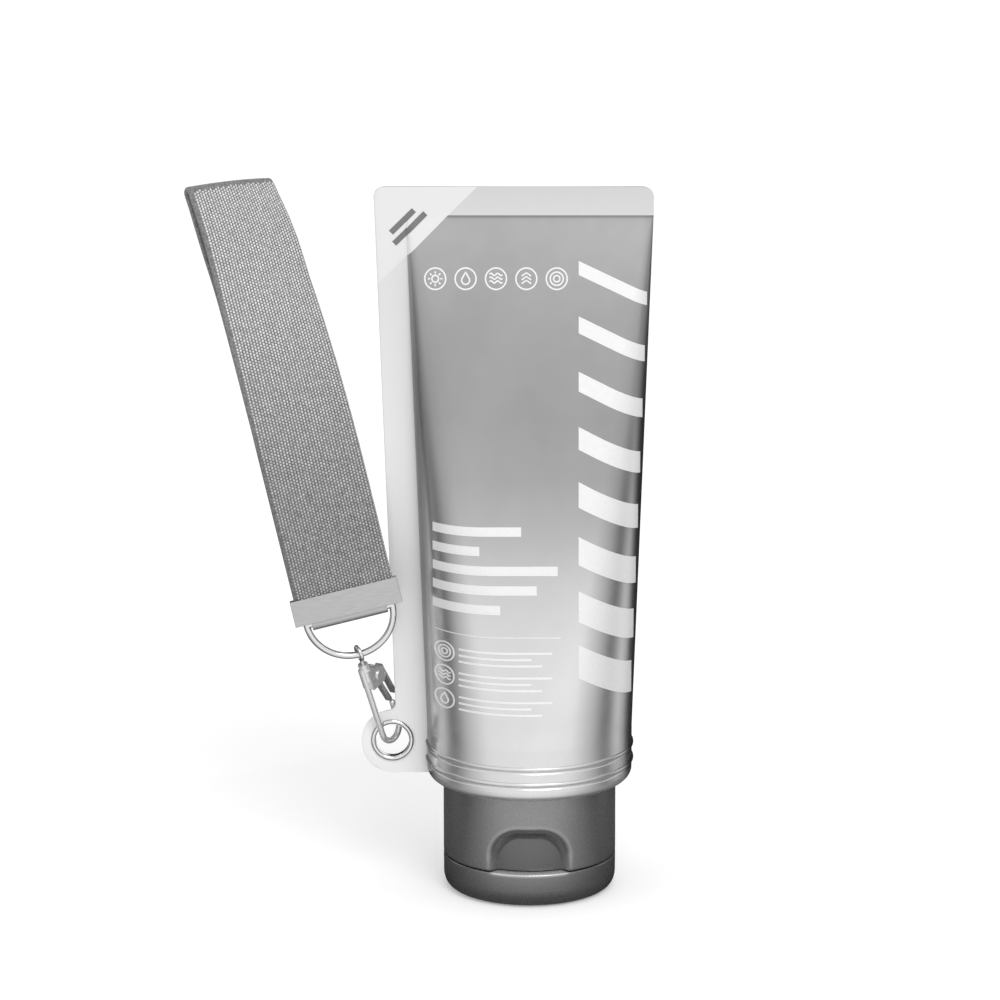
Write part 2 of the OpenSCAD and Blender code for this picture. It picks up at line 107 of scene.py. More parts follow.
def add_rings(bm, rings, wrap=False, caps=True):
    """Add the skin of a stack of closed rings, given in millimetres, to a bmesh."""
    rows = [[bm.verts.new(Vector(p) * MM) for p in ring] for ring in rings]
    count = len(rings[0])
    for i in range(len(rows) - 1 + wrap):
        low, high = rows[i], rows[(i + 1) % len(rows)]
        for k in range(count):
            n = (k + 1) % count
            bm.faces.new((low[k], low[n], high[n], high[k]))
    if caps and not wrap:
        bm.faces.new(rows[0][::-1])
        bm.faces.new(rows[-1])


def skin(name, rings, wrap=False, caps=True):
    """A mesh object from one stack of rings."""
    bm = bmesh.new()
    add_rings(bm, rings, wrap, caps)
    return finish_mesh(name, bm)


def spread(start, stop, count):
    """Evenly spaced values, both ends included."""
    return [start + (stop - start) * i / (count - 1) for i in range(count)]


def smooth(t):
    """Ease a share from 0 to 1."""
    t = min(1.0, max(0.0, t))
    return t * t * (3 - 2 * t)


print("mesh helpers ready")

# %% [markdown]
# ## A short way to write materials
# A node material is a small graph. Writing each node and link in full hides the idea, so this helper keeps
# the graph in one object: it makes nodes, does sums on their outputs, and reads the piece's own coordinates.
# Colours are given as the grey tone that a picture shows, from 0 to 255, and turned into linear light here.

# %% A helper that builds a finish
NOISE_SPAN = (0.3, 0.7)


def linear(tone):
    """Linear light of a grey tone from 0 to 255."""
    s = tone / 255
    return s / 12.92 if s <= 0.04045 else ((s + 0.055) / 1.055) ** 2.4


def grey(tone):
    """RGBA colour of a grey tone."""
    return (linear(tone),) * 3 + (1.0,)


class Finish:
    """A material in the making: its node tree, its shader, and short ways to add to them."""

    def __init__(self, name, tone=128, **sockets):
        self.material = bpy.data.materials.new(name)
        self.material.use_nodes = True
        self.tree = self.material.node_tree
        self.shader = self.tree.nodes["Principled BSDF"]
        self.shader.inputs["Base Color"].default_value = grey(tone)
        for socket, value in sockets.items():
            self.shader.inputs[socket.replace("_", " ")].default_value = value
        self.place = self.add("ShaderNodeTexCoord").outputs["Object"]

    def add(self, kind, **settings):
        node = self.tree.nodes.new(kind)
        for key, value in settings.items():
            setattr(node, key, value)
        return node

    def join(self, output, target):
        self.tree.links.new(output, target)

    def sum(self, operation, *values):
        """One Math node; each value is a number or another node's output."""
        node = self.add("ShaderNodeMath", operation=operation)
        for socket, value in zip(node.inputs, values):
            if isinstance(value, (int, float)):
                socket.default_value = value
            else:
                self.join(value, socket)
        return node.outputs[0]

    def axes(self, source=None):
        """The x, y and z of the piece's own coordinates, in metres."""
        node = self.add("ShaderNodeSeparateXYZ")
        self.join(source or self.place, node.inputs[0])
        return node.outputs

    def noise(self, scale, detail, stretch=(1, 1, 1)):
        """Noise from 0 to 1, at a number of features a metre, stretched along the axes."""
        mapping = self.add("ShaderNodeMapping")
        mapping.inputs["Scale"].default_value = stretch
        self.join(self.place, mapping.inputs[0])
        node = self.add("ShaderNodeTexNoise")
        node.inputs["Scale"].default_value = scale
        node.inputs["Detail"].default_value = detail
        self.join(mapping.outputs[0], node.inputs["Vector"])
        return node.outputs["Fac"]

    def span(self, value, low, high, to_low=0.0, to_high=1.0, kind="SMOOTHSTEP"):
        """Map a value from one span to another, held at both ends."""
        node = self.add("ShaderNodeMapRange", interpolation_type=kind)
        for key, number in zip(("From Min", "From Max", "To Min", "To Max"), (low, high, to_low, to_high)):
            node.inputs[key].default_value = number
        self.join(value, node.inputs["Value"])
        return node.outputs["Result"]

    def varied(self, noise, low=0.0, high=1.0):
        """Stretch a noise, whose values lie mostly in the noise span, over a span of its own."""
        return self.span(noise, *NOISE_SPAN, low, high)

    def ramp(self, value, stops):
        """A grey ramp; each stop is a share and a tone."""
        node = self.add("ShaderNodeValToRGB")
        elements = node.color_ramp.elements
        while len(elements) < len(stops):
            elements.new(0.5)
        for element, (share, tone) in zip(elements, stops):
            element.position = share
            element.color = grey(tone)
        self.join(value, node.inputs[0])
        return node.outputs["Color"]

    def mix(self, share, first, second):
        """Mix two colours; each is a tone or another node's output."""
        node = self.add("ShaderNodeMix", data_type="RGBA")
        # Inputs 6 and 7 are this node's two colours, and output 2 is the mixed one
        sockets = (node.inputs["Factor"], node.inputs[6], node.inputs[7])
        for socket, value in zip(sockets, (share, first, second)):
            if not isinstance(value, (int, float)):
                self.join(value, socket)
            elif socket.type == "RGBA":
                socket.default_value = grey(value)
            else:
                socket.default_value = value
        return node.outputs[2]

    def bump(self, height, depth, strength=1.0):
        """Relief of a depth in metres from a height between 0 and 1."""
        node = self.add("ShaderNodeBump")
        node.inputs["Strength"].default_value = strength
        node.inputs["Distance"].default_value = depth
        self.join(height, node.inputs["Height"])
        self.join(node.outputs[0], self.shader.inputs["Normal"])

    def colour(self, output):
        self.join(output, self.shader.inputs["Base Color"])

    def rough(self, output):
        self.join(output, self.shader.inputs["Roughness"])


def dress(piece, *finishes):
    """Give a piece its finishes, the first of which covers it all."""
    piece.data.materials.clear()
    for finish in finishes:
        piece.data.materials.append(finish.material)


print("finish helper ready")

# %% [markdown]
# ## The tube's shape
# Film is welded round a moulded head at the foot, and pressed flat and crimped at the top. Between the two
# its section changes from a circle to a flat line: at each height it is two half circles joined by straight
# runs. The fin and its tab are the same film, welded flat, so each ring here goes out along the fin as well.
# That keeps the whole skin in one piece, with a true crease where the fin leaves the body.

# %% Driving sizes of the tube, in millimetres
sleeve_low, sleeve_high = (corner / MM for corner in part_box("tube_sleeve"))
FOOT_Z, TOP_Z = sleeve_low.z, sleeve_high.z
SEAL_HALF = sleeve_high.x
TUBE_R = 20.0
FILM_T = 0.5
COLLAR_H = 10.5
COLLAR_ROUND = 2.0
LIP_R = TUBE_R - COLLAR_ROUND - 1
BEAD_R, BEAD_OUT = 0.42, 0.34
GROOVE_H, GROOVE_IN = 0.7, 0.2
BEAD_HEIGHTS = (FOOT_Z + 3.8, FOOT_Z + 6.9)
SEAL_H = 5.5
SEAL_ROUND = 2.0
FLAT_HALF = 0.4
FIN_W = 6.1
TAB_R, TAB_DROP, TAB_FILLET = 6.0, 0.6, 1.5
FULLNESS = 1.16
EYELET = Vector((-(TUBE_R + 6.8), 0, FOOT_Z + 7.1))
HOLE_R = 3.6
taper_z = FOOT_Z + COLLAR_H
seal_z = TOP_Z - SEAL_H


def fin_edge(z):
    """x of the straight edge of the fin at a height."""
    share = (z - taper_z) / (TOP_Z - taper_z)
    return -(TUBE_R + FIN_W) - share * (SEAL_HALF - TUBE_R)


def fin_left(z):
    """x of the fin's or the tab's left edge at a height, with the round corner at the top."""
    if z > TOP_Z - SEAL_ROUND:
        return fin_edge(TOP_Z) + SEAL_ROUND - math.sqrt(max(0, SEAL_ROUND**2 - (z - TOP_Z + SEAL_ROUND) ** 2))
    if EYELET.z - TAB_DROP < z <= EYELET.z:
        return EYELET.x - TAB_R
    middle = EYELET.z if z > EYELET.z else EYELET.z - TAB_DROP
    fillet_x = fin_edge(EYELET.z + TAB_R) - TAB_FILLET
    fillet_z = EYELET.z + math.sqrt((TAB_R + TAB_FILLET) ** 2 - (fillet_x - EYELET.x) ** 2)
    touch_z = EYELET.z + (fillet_z - EYELET.z) * TAB_R / (TAB_R + TAB_FILLET)
    if z < touch_z:
        return EYELET.x - math.sqrt(max(0, TAB_R**2 - (z - middle) ** 2))
    if z < fillet_z:
        return fillet_x + math.sqrt(max(0, TAB_FILLET**2 - (z - fillet_z) ** 2))
    return fin_edge(z)


def section(z):
    """Radius of the round ends and half length of the straight runs of the body at a height."""
    if z < FOOT_Z + COLLAR_ROUND:
        rise = FOOT_Z + COLLAR_ROUND - z
        return TUBE_R - COLLAR_ROUND + math.sqrt(max(0, COLLAR_ROUND**2 - rise**2)), 0
    if z <= taper_z:
        proud = [TUBE_R + BEAD_OUT - BEAD_R + math.sqrt(max(0, BEAD_R**2 - (z - b) ** 2))
                 for b in BEAD_HEIGHTS if abs(z - b) < BEAD_R]
        below = [(b - BEAD_R - z) / GROOVE_H for b in BEAD_HEIGHTS if 0 < b - BEAD_R - z < GROOVE_H]
        groove = GROOVE_IN * sum(math.sin(math.pi * share) for share in below)
        return max([TUBE_R - groove] + proud), 0
    share = min(1, (z - taper_z) / (seal_z - taper_z))
    width = TUBE_R + (SEAL_HALF - TUBE_R) * share
    if z > TOP_Z - SEAL_ROUND:
        width -= SEAL_ROUND - math.sqrt(max(0, SEAL_ROUND**2 - (z - TOP_Z + SEAL_ROUND) ** 2))
    depth = FLAT_HALF + (TUBE_R - FLAT_HALF) * (1 - share**FULLNESS)
    return depth, width - depth


def front_of_film(x, z):
    """y of the front of the film at a place, and the film's outward direction there."""
    radius, run = section(z)
    over = abs(x) - run
    if over <= 0 or abs(x) > run + radius:
        return (-radius if over <= 0 else -FLAT_HALF), Vector((0, -1, 0))
    y = -math.sqrt(max(FLAT_HALF**2, radius**2 - over**2))
    return y, Vector((math.copysign(over, x), y, 0)).normalized()


print(f"tube {TOP_Z:.1f} mm high, {2 * TUBE_R:.0f} mm round, seal {2 * SEAL_HALF:.1f} mm wide")

# %% [markdown]
# ## Rings of the tube
# Each ring starts at the back of the fin's crease, goes round the fin's edge to the front, along the front of
# the body to its right end, and home along the back. Below the tab there is no fin, so there the fin's points
# simply lie on the body. The rings crowd together where the shape turns fast: the collar's round foot, its
# two beads with the shallow groove below each, and the tab.

# %% Rings of the tube
END_STEPS, RUN_STEPS, FIN_STEPS, EDGE_STEPS = 22, 14, 8, 6
BEAD_SHARES = (-1.0, -0.92, -0.7, -0.4, 0, 0.4, 0.7, 0.92, 1.0)
TAB_TOP_ANGLE, TAB_EASE_H = 1.45, 1.6


def body_side(radius, run, start, sign):
    """Half of the body's outline from the fin's crease to its right end, on the front or the back."""
    left_turn, right_turn = spread(start, math.pi / 2, END_STEPS), spread(0, math.pi / 2, END_STEPS)
    left = [(-run - radius * math.cos(a), sign * radius * math.sin(a)) for a in left_turn]
    flat = [(x, sign * radius) for x in spread(-run, run, RUN_STEPS)[1:-1]]
    right = [(run + radius * math.sin(a), sign * radius * math.cos(a)) for a in right_turn]
    return left + flat + right


def tube_ring(z, with_fin, inset=0.0):
    """One ring of the film, outside or drawn in by its thickness."""
    radius, run = section(z)
    radius = max(radius - inset, FLAT_HALF - inset / 2)
    half = min(FLAT_HALF, radius) if with_fin or not inset else radius / 2
    start = math.asin(min(1, half / radius))
    crease = -run - radius * math.cos(start)
    if with_fin:
        tip = fin_left(z) + FLAT_HALF
        edge = [(tip - FLAT_HALF * math.sin(a), FLAT_HALF * math.cos(a))
                for a in spread(0, math.pi, EDGE_STEPS)]
        out = [(x, half) for x in spread(crease, tip, FIN_STEPS)[1:-1]]
        back = [(x, -half) for x in spread(tip, crease, FIN_STEPS)[1:-1]]
        fin = out + edge + back
    else:
        angles = spread(start, -start, 2 * (FIN_STEPS - 2) + EDGE_STEPS + 2)[1:-1]
        fin = [(-run - radius * math.cos(a), radius * math.sin(a)) for a in angles]
    front = body_side(radius, run, start, -1)
    back = body_side(radius, run, start, 1)[:-1][::-1]
    return [(x, y, z) for x, y in fin + front + back]


tab_foot = round(EYELET.z - TAB_DROP - TAB_R, 3)
heights = [FOOT_Z + COLLAR_ROUND * (1 - math.cos(a)) for a in spread(0, math.pi / 2, 9)]
heights += [b + BEAD_R * s for b in BEAD_HEIGHTS for s in BEAD_SHARES]
heights += [b - BEAD_R - GROOVE_H * s for b in BEAD_HEIGHTS for s in spread(0, 1, 8)]
heights += [EYELET.z - TAB_DROP - TAB_R * math.cos(a) for a in spread(0, math.pi / 2, 16)]
heights += [EYELET.z + TAB_R * math.sin(a) for a in spread(0, TAB_TOP_ANGLE, 16)]
heights += spread(EYELET.z + TAB_R - 0.05, EYELET.z + TAB_R + TAB_EASE_H, 9)
heights += spread(taper_z, seal_z, 76)
heights += spread(seal_z, TOP_Z - SEAL_ROUND, 6)
heights += [TOP_Z - SEAL_ROUND + SEAL_ROUND * math.sin(a) for a in spread(0, math.pi / 2, 9)]
heights = sorted({round(z, 3) for z in heights if z <= TOP_Z})

smooth_low = BEAD_HEIGHTS[0] - BEAD_R - GROOVE_H
inside = [tube_ring(z, False, FILM_T) for z in heights
          if FOOT_Z + FILM_T < z < smooth_low or taper_z < z < seal_z - 1]
foot_ring = tube_ring(FOOT_Z, False)
lip = [[(LIP_R * x / math.hypot(x, y), LIP_R * y / math.hypot(x, y), z) for x, y, _ in foot_ring]
       for z in (FOOT_Z + FILM_T, FOOT_Z)]
bare = [tube_ring(z, False) for z in heights if z <= tab_foot]
finned = [tube_ring(z, True) for z in heights if z >= tab_foot]
sleeve = skin("film_tube", inside[::-1] + lip + bare + finned)
print("tube rings:", len(inside) + 2 + len(bare) + len(finned), "faces:", len(sleeve.data.polygons))

# %% [markdown]
# ## The hole for the eyelet
# The tab is punched before the eyelet is set. A cylinder through the tab and a Boolean modifier do the same,
# and the result is turned into plain mesh at once, so that nothing later depends on the cutter.

# %% Punch the tab
def apply_modifiers(piece):
    """Replace a piece's mesh by what its modifiers make of it."""
    graph = bpy.context.evaluated_depsgraph_get()
    mesh = bpy.data.meshes.new_from_object(piece.evaluated_get(graph))
    piece.modifiers.clear()
    piece.data = mesh


punch = skin("punch", [[(EYELET.x + HOLE_R * math.cos(a), y, EYELET.z + HOLE_R * math.sin(a))
                        for a in spread(0, 2 * math.pi, 65)[:-1]] for y in (-2.0, 2.0)])
cut = sleeve.modifiers.new("punch", "BOOLEAN")
cut.operation = "DIFFERENCE"
cut.solver = "EXACT"
cut.object = punch
apply_modifiers(sleeve)
bpy.data.objects.remove(punch)
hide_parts("tube_sleeve")
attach(sleeve, "tube")
print("film tube:", len(sleeve.data.polygons), "faces after the punch")

# %% [markdown]
# ## The finish of the film
# The film is printed in a cool metallic grey that pales towards the foot, over a white base that stays bare
# on the fin and the seal. A white corner crosses the top left. The ramp runs over the height of the tube, and
# the corner is a plain sum of x and z, so both stay where they are on the tube from any side. Painted shade
# darkens the film towards its sides, and a painted shadow is a thin dark line below the crimp.

# %% Film finishes
CORNER_W, CORNER_H, CORNER_TONE = 19.8, 19.6, 228
PRINT_STOPS = ((FOOT_Z, 221), (38, 212), (44, 216), (54, 212), (64, 201), (74, 180), (84, 162), (96, 153),
               (114, 157), (130, 170))
BASE_STOPS = ((0, 241), (0.3, 240), (0.6, 232), (0.9, 218), (1, 205))
FILM_METAL, CLOUD_SHARE = 0.82, 0.06
# Painted shade: the film is darkened towards both sides of the body, fading out towards the top.
SIDE_FROM_TO, SIDE_SHADE_TONE = (0.9, 0.985), 78
SIDE_FADES_FROM_TO, SIDE_LEFT = (0.09, 0.131), 0.15
# A painted shadow line just below the crimp.
CRIMP_FROM, CRIMP_TO = seal_z - 0.8, seal_z - 0.1
CRIMP_SHADE, CRIMP_SHADOW_TONE = 0.55, 90
FIN_SLACK, FIN_FROM_SHARE = 0.02, 0.9


def corner_mask(finish):
    """1 on the white corner of the front, 0 elsewhere."""
    x, y, z = finish.axes()
    left = finish.sum("DIVIDE", finish.sum("SUBTRACT", x, fin_edge(TOP_Z) * MM), CORNER_W * MM)
    down = finish.sum("DIVIDE", finish.sum("SUBTRACT", TOP_Z * MM, z), CORNER_H * MM)
    inner = finish.sum("LESS_THAN", finish.sum("ADD", left, down), 1)
    return finish.sum("MULTIPLY", inner, finish.sum("LESS_THAN", y, 0))


def printed_film():
    finish = Finish("printed_film", 170, Metallic=FILM_METAL, Roughness=0.3)
    height = finish.span(finish.axes()[2], FOOT_Z * MM, seal_z * MM, kind="LINEAR")
    stops = [((z - FOOT_Z) / (seal_z - FOOT_Z), tone) for z, tone in PRINT_STOPS]
    ink = finish.ramp(height, stops)
    cloud = finish.varied(finish.noise(60, 3, (1, 1, 0.35)), 0.0, CLOUD_SHARE)
    x, _, z = finish.axes()
    half_width = finish.span(z, taper_z * MM, seal_z * MM, TUBE_R * MM, SEAL_HALF * MM, "LINEAR")
    to_side = finish.sum("DIVIDE", finish.sum("ABSOLUTE", x), half_width)
    # Painted shade along the body's sides, where the tube turns away.
    fading = finish.span(z, *SIDE_FADES_FROM_TO, 1.0, SIDE_LEFT)
    shade = finish.sum("MULTIPLY", finish.span(to_side, *SIDE_FROM_TO), fading)
    toned = finish.mix(shade, finish.mix(cloud, ink, 255), SIDE_SHADE_TONE)
    # Painted shadow: a thin dark line just below the crimp.
    crimp_shadow = finish.span(z, CRIMP_FROM * MM, CRIMP_TO * MM, 0.0, CRIMP_SHADE)
    toned = finish.mix(crimp_shadow, toned, CRIMP_SHADOW_TONE)
    mask = corner_mask(finish)
    finish.colour(finish.mix(mask, toned, CORNER_TONE))
    metal = finish.sum("MULTIPLY", finish.sum("SUBTRACT", 1, mask), FILM_METAL)
    finish.join(metal, finish.shader.inputs["Metallic"])
    finish.rough(finish.varied(finish.noise(300, 2), 0.22, 0.26))
    finish.bump(finish.noise(70, 2), 0.0001, 0.12)
    return finish


def white_film():
    finish = Finish("white_film", 236, Roughness=0.34, IOR=1.5)
    tone = finish.span(finish.axes()[2], FOOT_Z * MM, TOP_Z * MM, kind="LINEAR")
    base = finish.ramp(tone, BASE_STOPS)
    finish.colour(finish.mix(corner_mask(finish), base, CORNER_TONE))
    finish.rough(finish.varied(finish.noise(1200, 2), 0.28, 0.42))
    finish.bump(finish.noise(220, 3), 0.0001, 0.3)
    return finish


def on_fin(centre):
    """True where a face belongs to the white film: the fin, the tab and the seal."""
    x, z = centre.x / MM, centre.z / MM
    radius, run = section(z)
    return z > seal_z or (abs(centre.y) / MM < FLAT_HALF + FIN_SLACK and x < -run - radius * FIN_FROM_SHARE)


dress(sleeve, printed_film(), white_film())
for face in sleeve.data.polygons:
    face.material_index = int(on_fin(face.center))
print("white faces:", sum(face.material_index for face in sleeve.data.polygons))

# %% [markdown]
# ## The cap, with a soft thumb recess
# The cap is moulded in one shot with a living hinge at its back. Its profile is turned, but the thumb recess
# isn't: it is a shallow pocket of even depth behind an arch. So the cap is skinned from vertical sections,
# and every point near the recess is drawn in by the same smooth amount. The wall keeps its thickness and the
# rim gets the soft radius that a real mould leaves.

# %% Driving sizes of the cap, in millimetres
CAP_TOP = (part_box("cap_body")[1] / MM).z
CAP_R = 16.85
CAP_WALL = 1.2
LID_H = 6.9
SEAM = 0.2
DECK_T = 1.3
FOOT_ROUND = 2.9
ARCH_HALF, ARCH_H, ARCH_ROUND = 8.15, 9.3, 6.2
RECESS, SIDE_EDGE, TOP_EDGE = 1.9, 1.3, 3.0
EDGE_R, SEAM_ROUND = 0.22, 0.3
BESIDE_ARCH, FRONT_SECTIONS, BACK_SECTIONS = 1.2, 63, 84
FRONT_ANGLE = math.pi / 3
deck_z = LID_H + SEAM
deck_top = deck_z + DECK_T
SHIFT_FROM, SHIFT_TO = 11.5, 13.0


def inside_arch(x, z):
    """Distance from a point of the front to the arch's edge, positive inside it."""
    up = z - deck_z
    inner = ARCH_HALF - ARCH_ROUND
    corner_z = ARCH_H - ARCH_ROUND
    if up <= corner_z:
        return ARCH_HALF - abs(x)
    if abs(x) <= inner:
        return ARCH_H - up
    return ARCH_ROUND - math.hypot(abs(x) - inner, up - corner_z)


def drawn_in(angle, z):
    """How far the recess draws the wall in at an angle from the front and a height."""
    if abs(angle) > FRONT_ANGLE:
        return 0.0
    share = min(1.0, max(0.0, (z - deck_z) / ARCH_H))
    edge = SIDE_EDGE + (TOP_EDGE - SIDE_EDGE) * smooth(share)
    return RECESS * smooth(inside_arch(CAP_R * math.sin(angle), max(z, deck_z)) / edge)


front = spread(-ARCH_HALF - BESIDE_ARCH, ARCH_HALF + BESIDE_ARCH, FRONT_SECTIONS)
edge_angle = math.asin(front[-1] / CAP_R)
angles = [math.asin(x / CAP_R) for x in front]
angles += spread(edge_angle, 2 * math.pi - edge_angle, BACK_SECTIONS)[1:-1]


def turned(name, profile, recessed, close=False):
    """Skin a cap part from its half profile; recessed says how far the recess draws each point in."""
    rings = []
    for r, z, follows in profile:
        ring = []
        for a in angles:
            pull = recessed(a, z) if follows else 0.0
            reach = r - pull * smooth((r - SHIFT_FROM) / (SHIFT_TO - SHIFT_FROM))
            ring.append((reach * math.sin(a), -reach * math.cos(a), z))
        rings.append(ring)
    return skin(name, rings, wrap=close, caps=False)


def rounded(points, radius, steps=4):
    """Round the corners of a half profile; a corner's own radius may be given as a third number."""
    out = []
    for i, point in enumerate(points):
        own = point[2] if len(point) > 2 else radius
        here = Vector(point[:2])
        before, after = Vector(points[i - 1][:2]), Vector(points[(i + 1) % len(points)][:2])
        to_before, to_after = before - here, after - here
        turn = to_before.angle(to_after)
        back = min(own / math.tan(turn / 2), 0.45 * to_before.length, 0.45 * to_after.length)
        start, end = here + to_before.normalized() * back, here + to_after.normalized() * back
        for t in spread(0, 1, steps + 1):
            out.append(start * (1 - t) ** 2 + here * 2 * t * (1 - t) + end * t**2)
    return out


def dense(points, step):
    """Split the long runs of a closed profile, so that no two points are further apart than a step."""
    out = []
    for i, point in enumerate(points):
        after = points[(i + 1) % len(points)]
        count = max(2, math.ceil((after - point).length / step) + 1)
        out += [point.lerp(after, t) for t in spread(0, 1, count)[:-1]]
    return out


print(f"cap {2 * CAP_R:.1f} mm round, recess at most {RECESS} mm deep, {len(angles)} vertical sections")

# %% [markdown]
# ## The cap's body
# The profile is a closed loop, walked once round the wall. It has the deck with the spout in its middle, a
# rim that guides the lid, and the sleeve that snaps onto the tube's neck. A Screw modifier would turn the
# profile too, but it couldn't draw the wall in at the recess.

# %% Build the cap body
ORIFICE_R, SPOUT_T, SPOUT_DROP = 2.5, 1.5, 0.9
NECK_SLEEVE_R, NECK_SLEEVE_T, NECK_SLEEVE_DROP, NECK_GAP = 9.6, 1.0, 3.4, 0.1
RIM_GAP, RIM_T, RIM_DROP = 0.3, 1.0, 1.0
BODY_STEP = 0.32
inner_r = CAP_R - CAP_WALL
rim_out = inner_r - RIM_GAP
sleeve_out = NECK_SLEEVE_R + NECK_SLEEVE_T
sleeve_top = CAP_TOP + NECK_GAP - NECK_SLEEVE_DROP
spout_foot = deck_z - SPOUT_DROP
body_corners = [
    (CAP_R, deck_z, SEAM_ROUND), (CAP_R, CAP_TOP), (inner_r, CAP_TOP), (inner_r, deck_top),
    (sleeve_out, deck_top), (sleeve_out, sleeve_top), (NECK_SLEEVE_R, sleeve_top), (NECK_SLEEVE_R, deck_top),
    (ORIFICE_R, deck_top), (ORIFICE_R, spout_foot), (ORIFICE_R + SPOUT_T, spout_foot),
    (ORIFICE_R + SPOUT_T, deck_z), (rim_out - RIM_T, deck_z), (rim_out - RIM_T, deck_z - RIM_DROP),
    (rim_out, deck_z - RIM_DROP), (rim_out, deck_z)]
profile = dense(rounded(body_corners, EDGE_R), BODY_STEP)
cap_body = turned("cap_body_skin", [(p.x, p.y, p.x > SHIFT_FROM) for p in profile], drawn_in, close=True)
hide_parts("cap_body")
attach(cap_body, "tube")
print("cap body:", len(cap_body.data.polygons), "faces")

# %% [markdown]
# ## The lid
# The lid is the foot that the tube stands on. Its outer edge is well rounded, a pin in its middle plugs the
# spout, and its top edge carries the ledge that a thumb pushes. It is turned like the body, from the middle
# of its underside round to the tip of the pin, and its lip is drawn in under the recess to make the ledge.

# %% Build the lid
PIN_R, PIN_TOP, PIN_DRAFT, PIN_FOOT_ROUND, PIN_TIP_ROUND = 2.25, deck_z + 0.8, 0.15, 0.4, 0.6
LIP_T, LIP_EASE, LIP_IN = 1.4, 0.3, 0.5
FOOT_DRAFT, FOOT_REACH, INNER_ROUND = 0.05, 1.25, 1.4
LID_STEP, ON_AXIS, ON_FACE = 0.4, 0.02, 0.01


def ledge(angle, z):
    """The lip reaches in under the recess, above its own underside."""
    return drawn_in(angle, deck_z) * smooth((z - (LID_H - LIP_T)) / LIP_EASE)


lid_corners = [
    (0, 0, 0), (CAP_R - FOOT_DRAFT, 0, FOOT_ROUND * FOOT_REACH), (CAP_R, LID_H, SEAM_ROUND), (inner_r, LID_H),
    (inner_r, DECK_T, INNER_ROUND), (PIN_R + PIN_DRAFT, DECK_T, PIN_FOOT_ROUND),
    (PIN_R, PIN_TOP, PIN_TIP_ROUND), (0, PIN_TOP, 0)]
profile = dense(rounded(lid_corners, EDGE_R, 8), LID_STEP)
profile = [p for p in profile if p.x > ON_AXIS or p.y < ON_FACE or p.y > PIN_TOP - ON_FACE]
rows = [(max(p.x, 0.0), p.y, SHIFT_FROM < p.x < CAP_R - LIP_IN and p.y > DECK_T + 1) for p in profile]
cap_lid = turned("cap_lid_skin", rows, ledge)
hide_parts("cap_lid")
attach(cap_lid, "lid")
print("lid:", len(cap_lid.data.polygons), "faces, box", [round(v, 2) for v in cap_lid.dimensions / MM])

# %% [markdown]
# ## Painted shade and highlight on the cap
# The recess is painted darker, as painted shade, and its rim and the lid's ledge are painted paler and
# duller, as a painted highlight. A painted mask could say where, but it would need an unwrapped mesh and a
# picture.
# The formulas of the shape already know the recess, so their values are kept at every point as attributes,
# and the finish reads those.

# %% Mark the recess, its rim and its ledge
# The rim's share sets how strongly its painted highlight shows.
RIM_SOFT, RIM_HIGHLIGHT_SHARE = 0.55, 0.17


def mark(piece, name, share_at):
    """Keep a share from 0 to 1 at every outer point of a cap part, for its finish to read."""
    marks = piece.data.attributes.new(name, "FLOAT", "POINT")
    for vertex, here in zip(piece.data.vertices, marks.data):
        x, y, z = vertex.co / MM
        if math.hypot(x, y) > SHIFT_FROM:
            here.value = share_at(math.atan2(x, -y), z)


def on_rim(angle, z):
    """1 on the rim of the recess, 0 a little way from it."""
    if abs(angle) > FRONT_ANGLE or z < deck_z + RIM_SOFT:
        return 0.0
    return smooth(1 - abs(inside_arch(CAP_R * math.sin(angle), z)) / RIM_SOFT)


# The recess share is read by the finish as painted shade.
mark(cap_body, "recess", lambda angle, z: drawn_in(angle, z) / RECESS)
# The rim marks on the body and on the lid's ledge carry a painted highlight.
mark(cap_body, "rim", lambda angle, z: RIM_HIGHLIGHT_SHARE * on_rim(angle, z))
mark(cap_lid, "rim", lambda angle, z: ledge(angle, z) / RECESS * smooth((z - LID_H + RIM_SOFT) / RIM_SOFT))
print("marked points:", len(cap_body.data.vertices), "on the body,", len(cap_lid.data.vertices), "on the lid")

# %% [markdown]
# ## The living hinge
# A living hinge is a thin web of the cap's own plastic, so it bends instead of turning on a pin. It is built
# flat against the cap's back as a strip with a thin middle.

# %% Build the hinge's web
hinge = next(j for j in frame["joints"] if j["name"] == "lid_hinge")
hinge_at = Vector(hinge["pos_m"]) / MM
WEB_HALF, WEB_UP, WEB_DOWN = 5.5, 1.7, 2.6
WEB_THICK, WEB_THIN = 0.55, 0.3
WEB_OFF, WEB_BOW = 0.02, 0.22
BEND_HALF, END_EASE = 0.9, 0.35
END_THICK, FAR_WIDTH = 0.35, 0.995


def web_ring(z):
    """The web's outline at a height: thick, but thin at the bend and tapered at its two ends."""
    bend = 1 - smooth(abs(z - hinge_at.z) / BEND_HALF)
    end = smooth(min(z - hinge_at.z + WEB_DOWN, hinge_at.z + WEB_UP - z) / END_EASE)
    thick = (WEB_THICK + (WEB_THIN - WEB_THICK) * bend) * (END_THICK + (1 - END_THICK) * end)
    inner = CAP_R + WEB_OFF + WEB_BOW * bend
    across = spread(-WEB_HALF, WEB_HALF, 23)
    near = [(x, math.sqrt(inner**2 - x * x), z) for x in across]
    far = [(x * FAR_WIDTH, math.sqrt((inner + thick) ** 2 - x * x), z) for x in across]
    return near + far[::-1]


web = skin("hinge_web", [web_ring(z) for z in spread(hinge_at.z - WEB_DOWN, hinge_at.z + WEB_UP, 31)])
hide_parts("living_hinge")
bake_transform(web)
print("hinge web:", len(web.data.polygons), "faces")

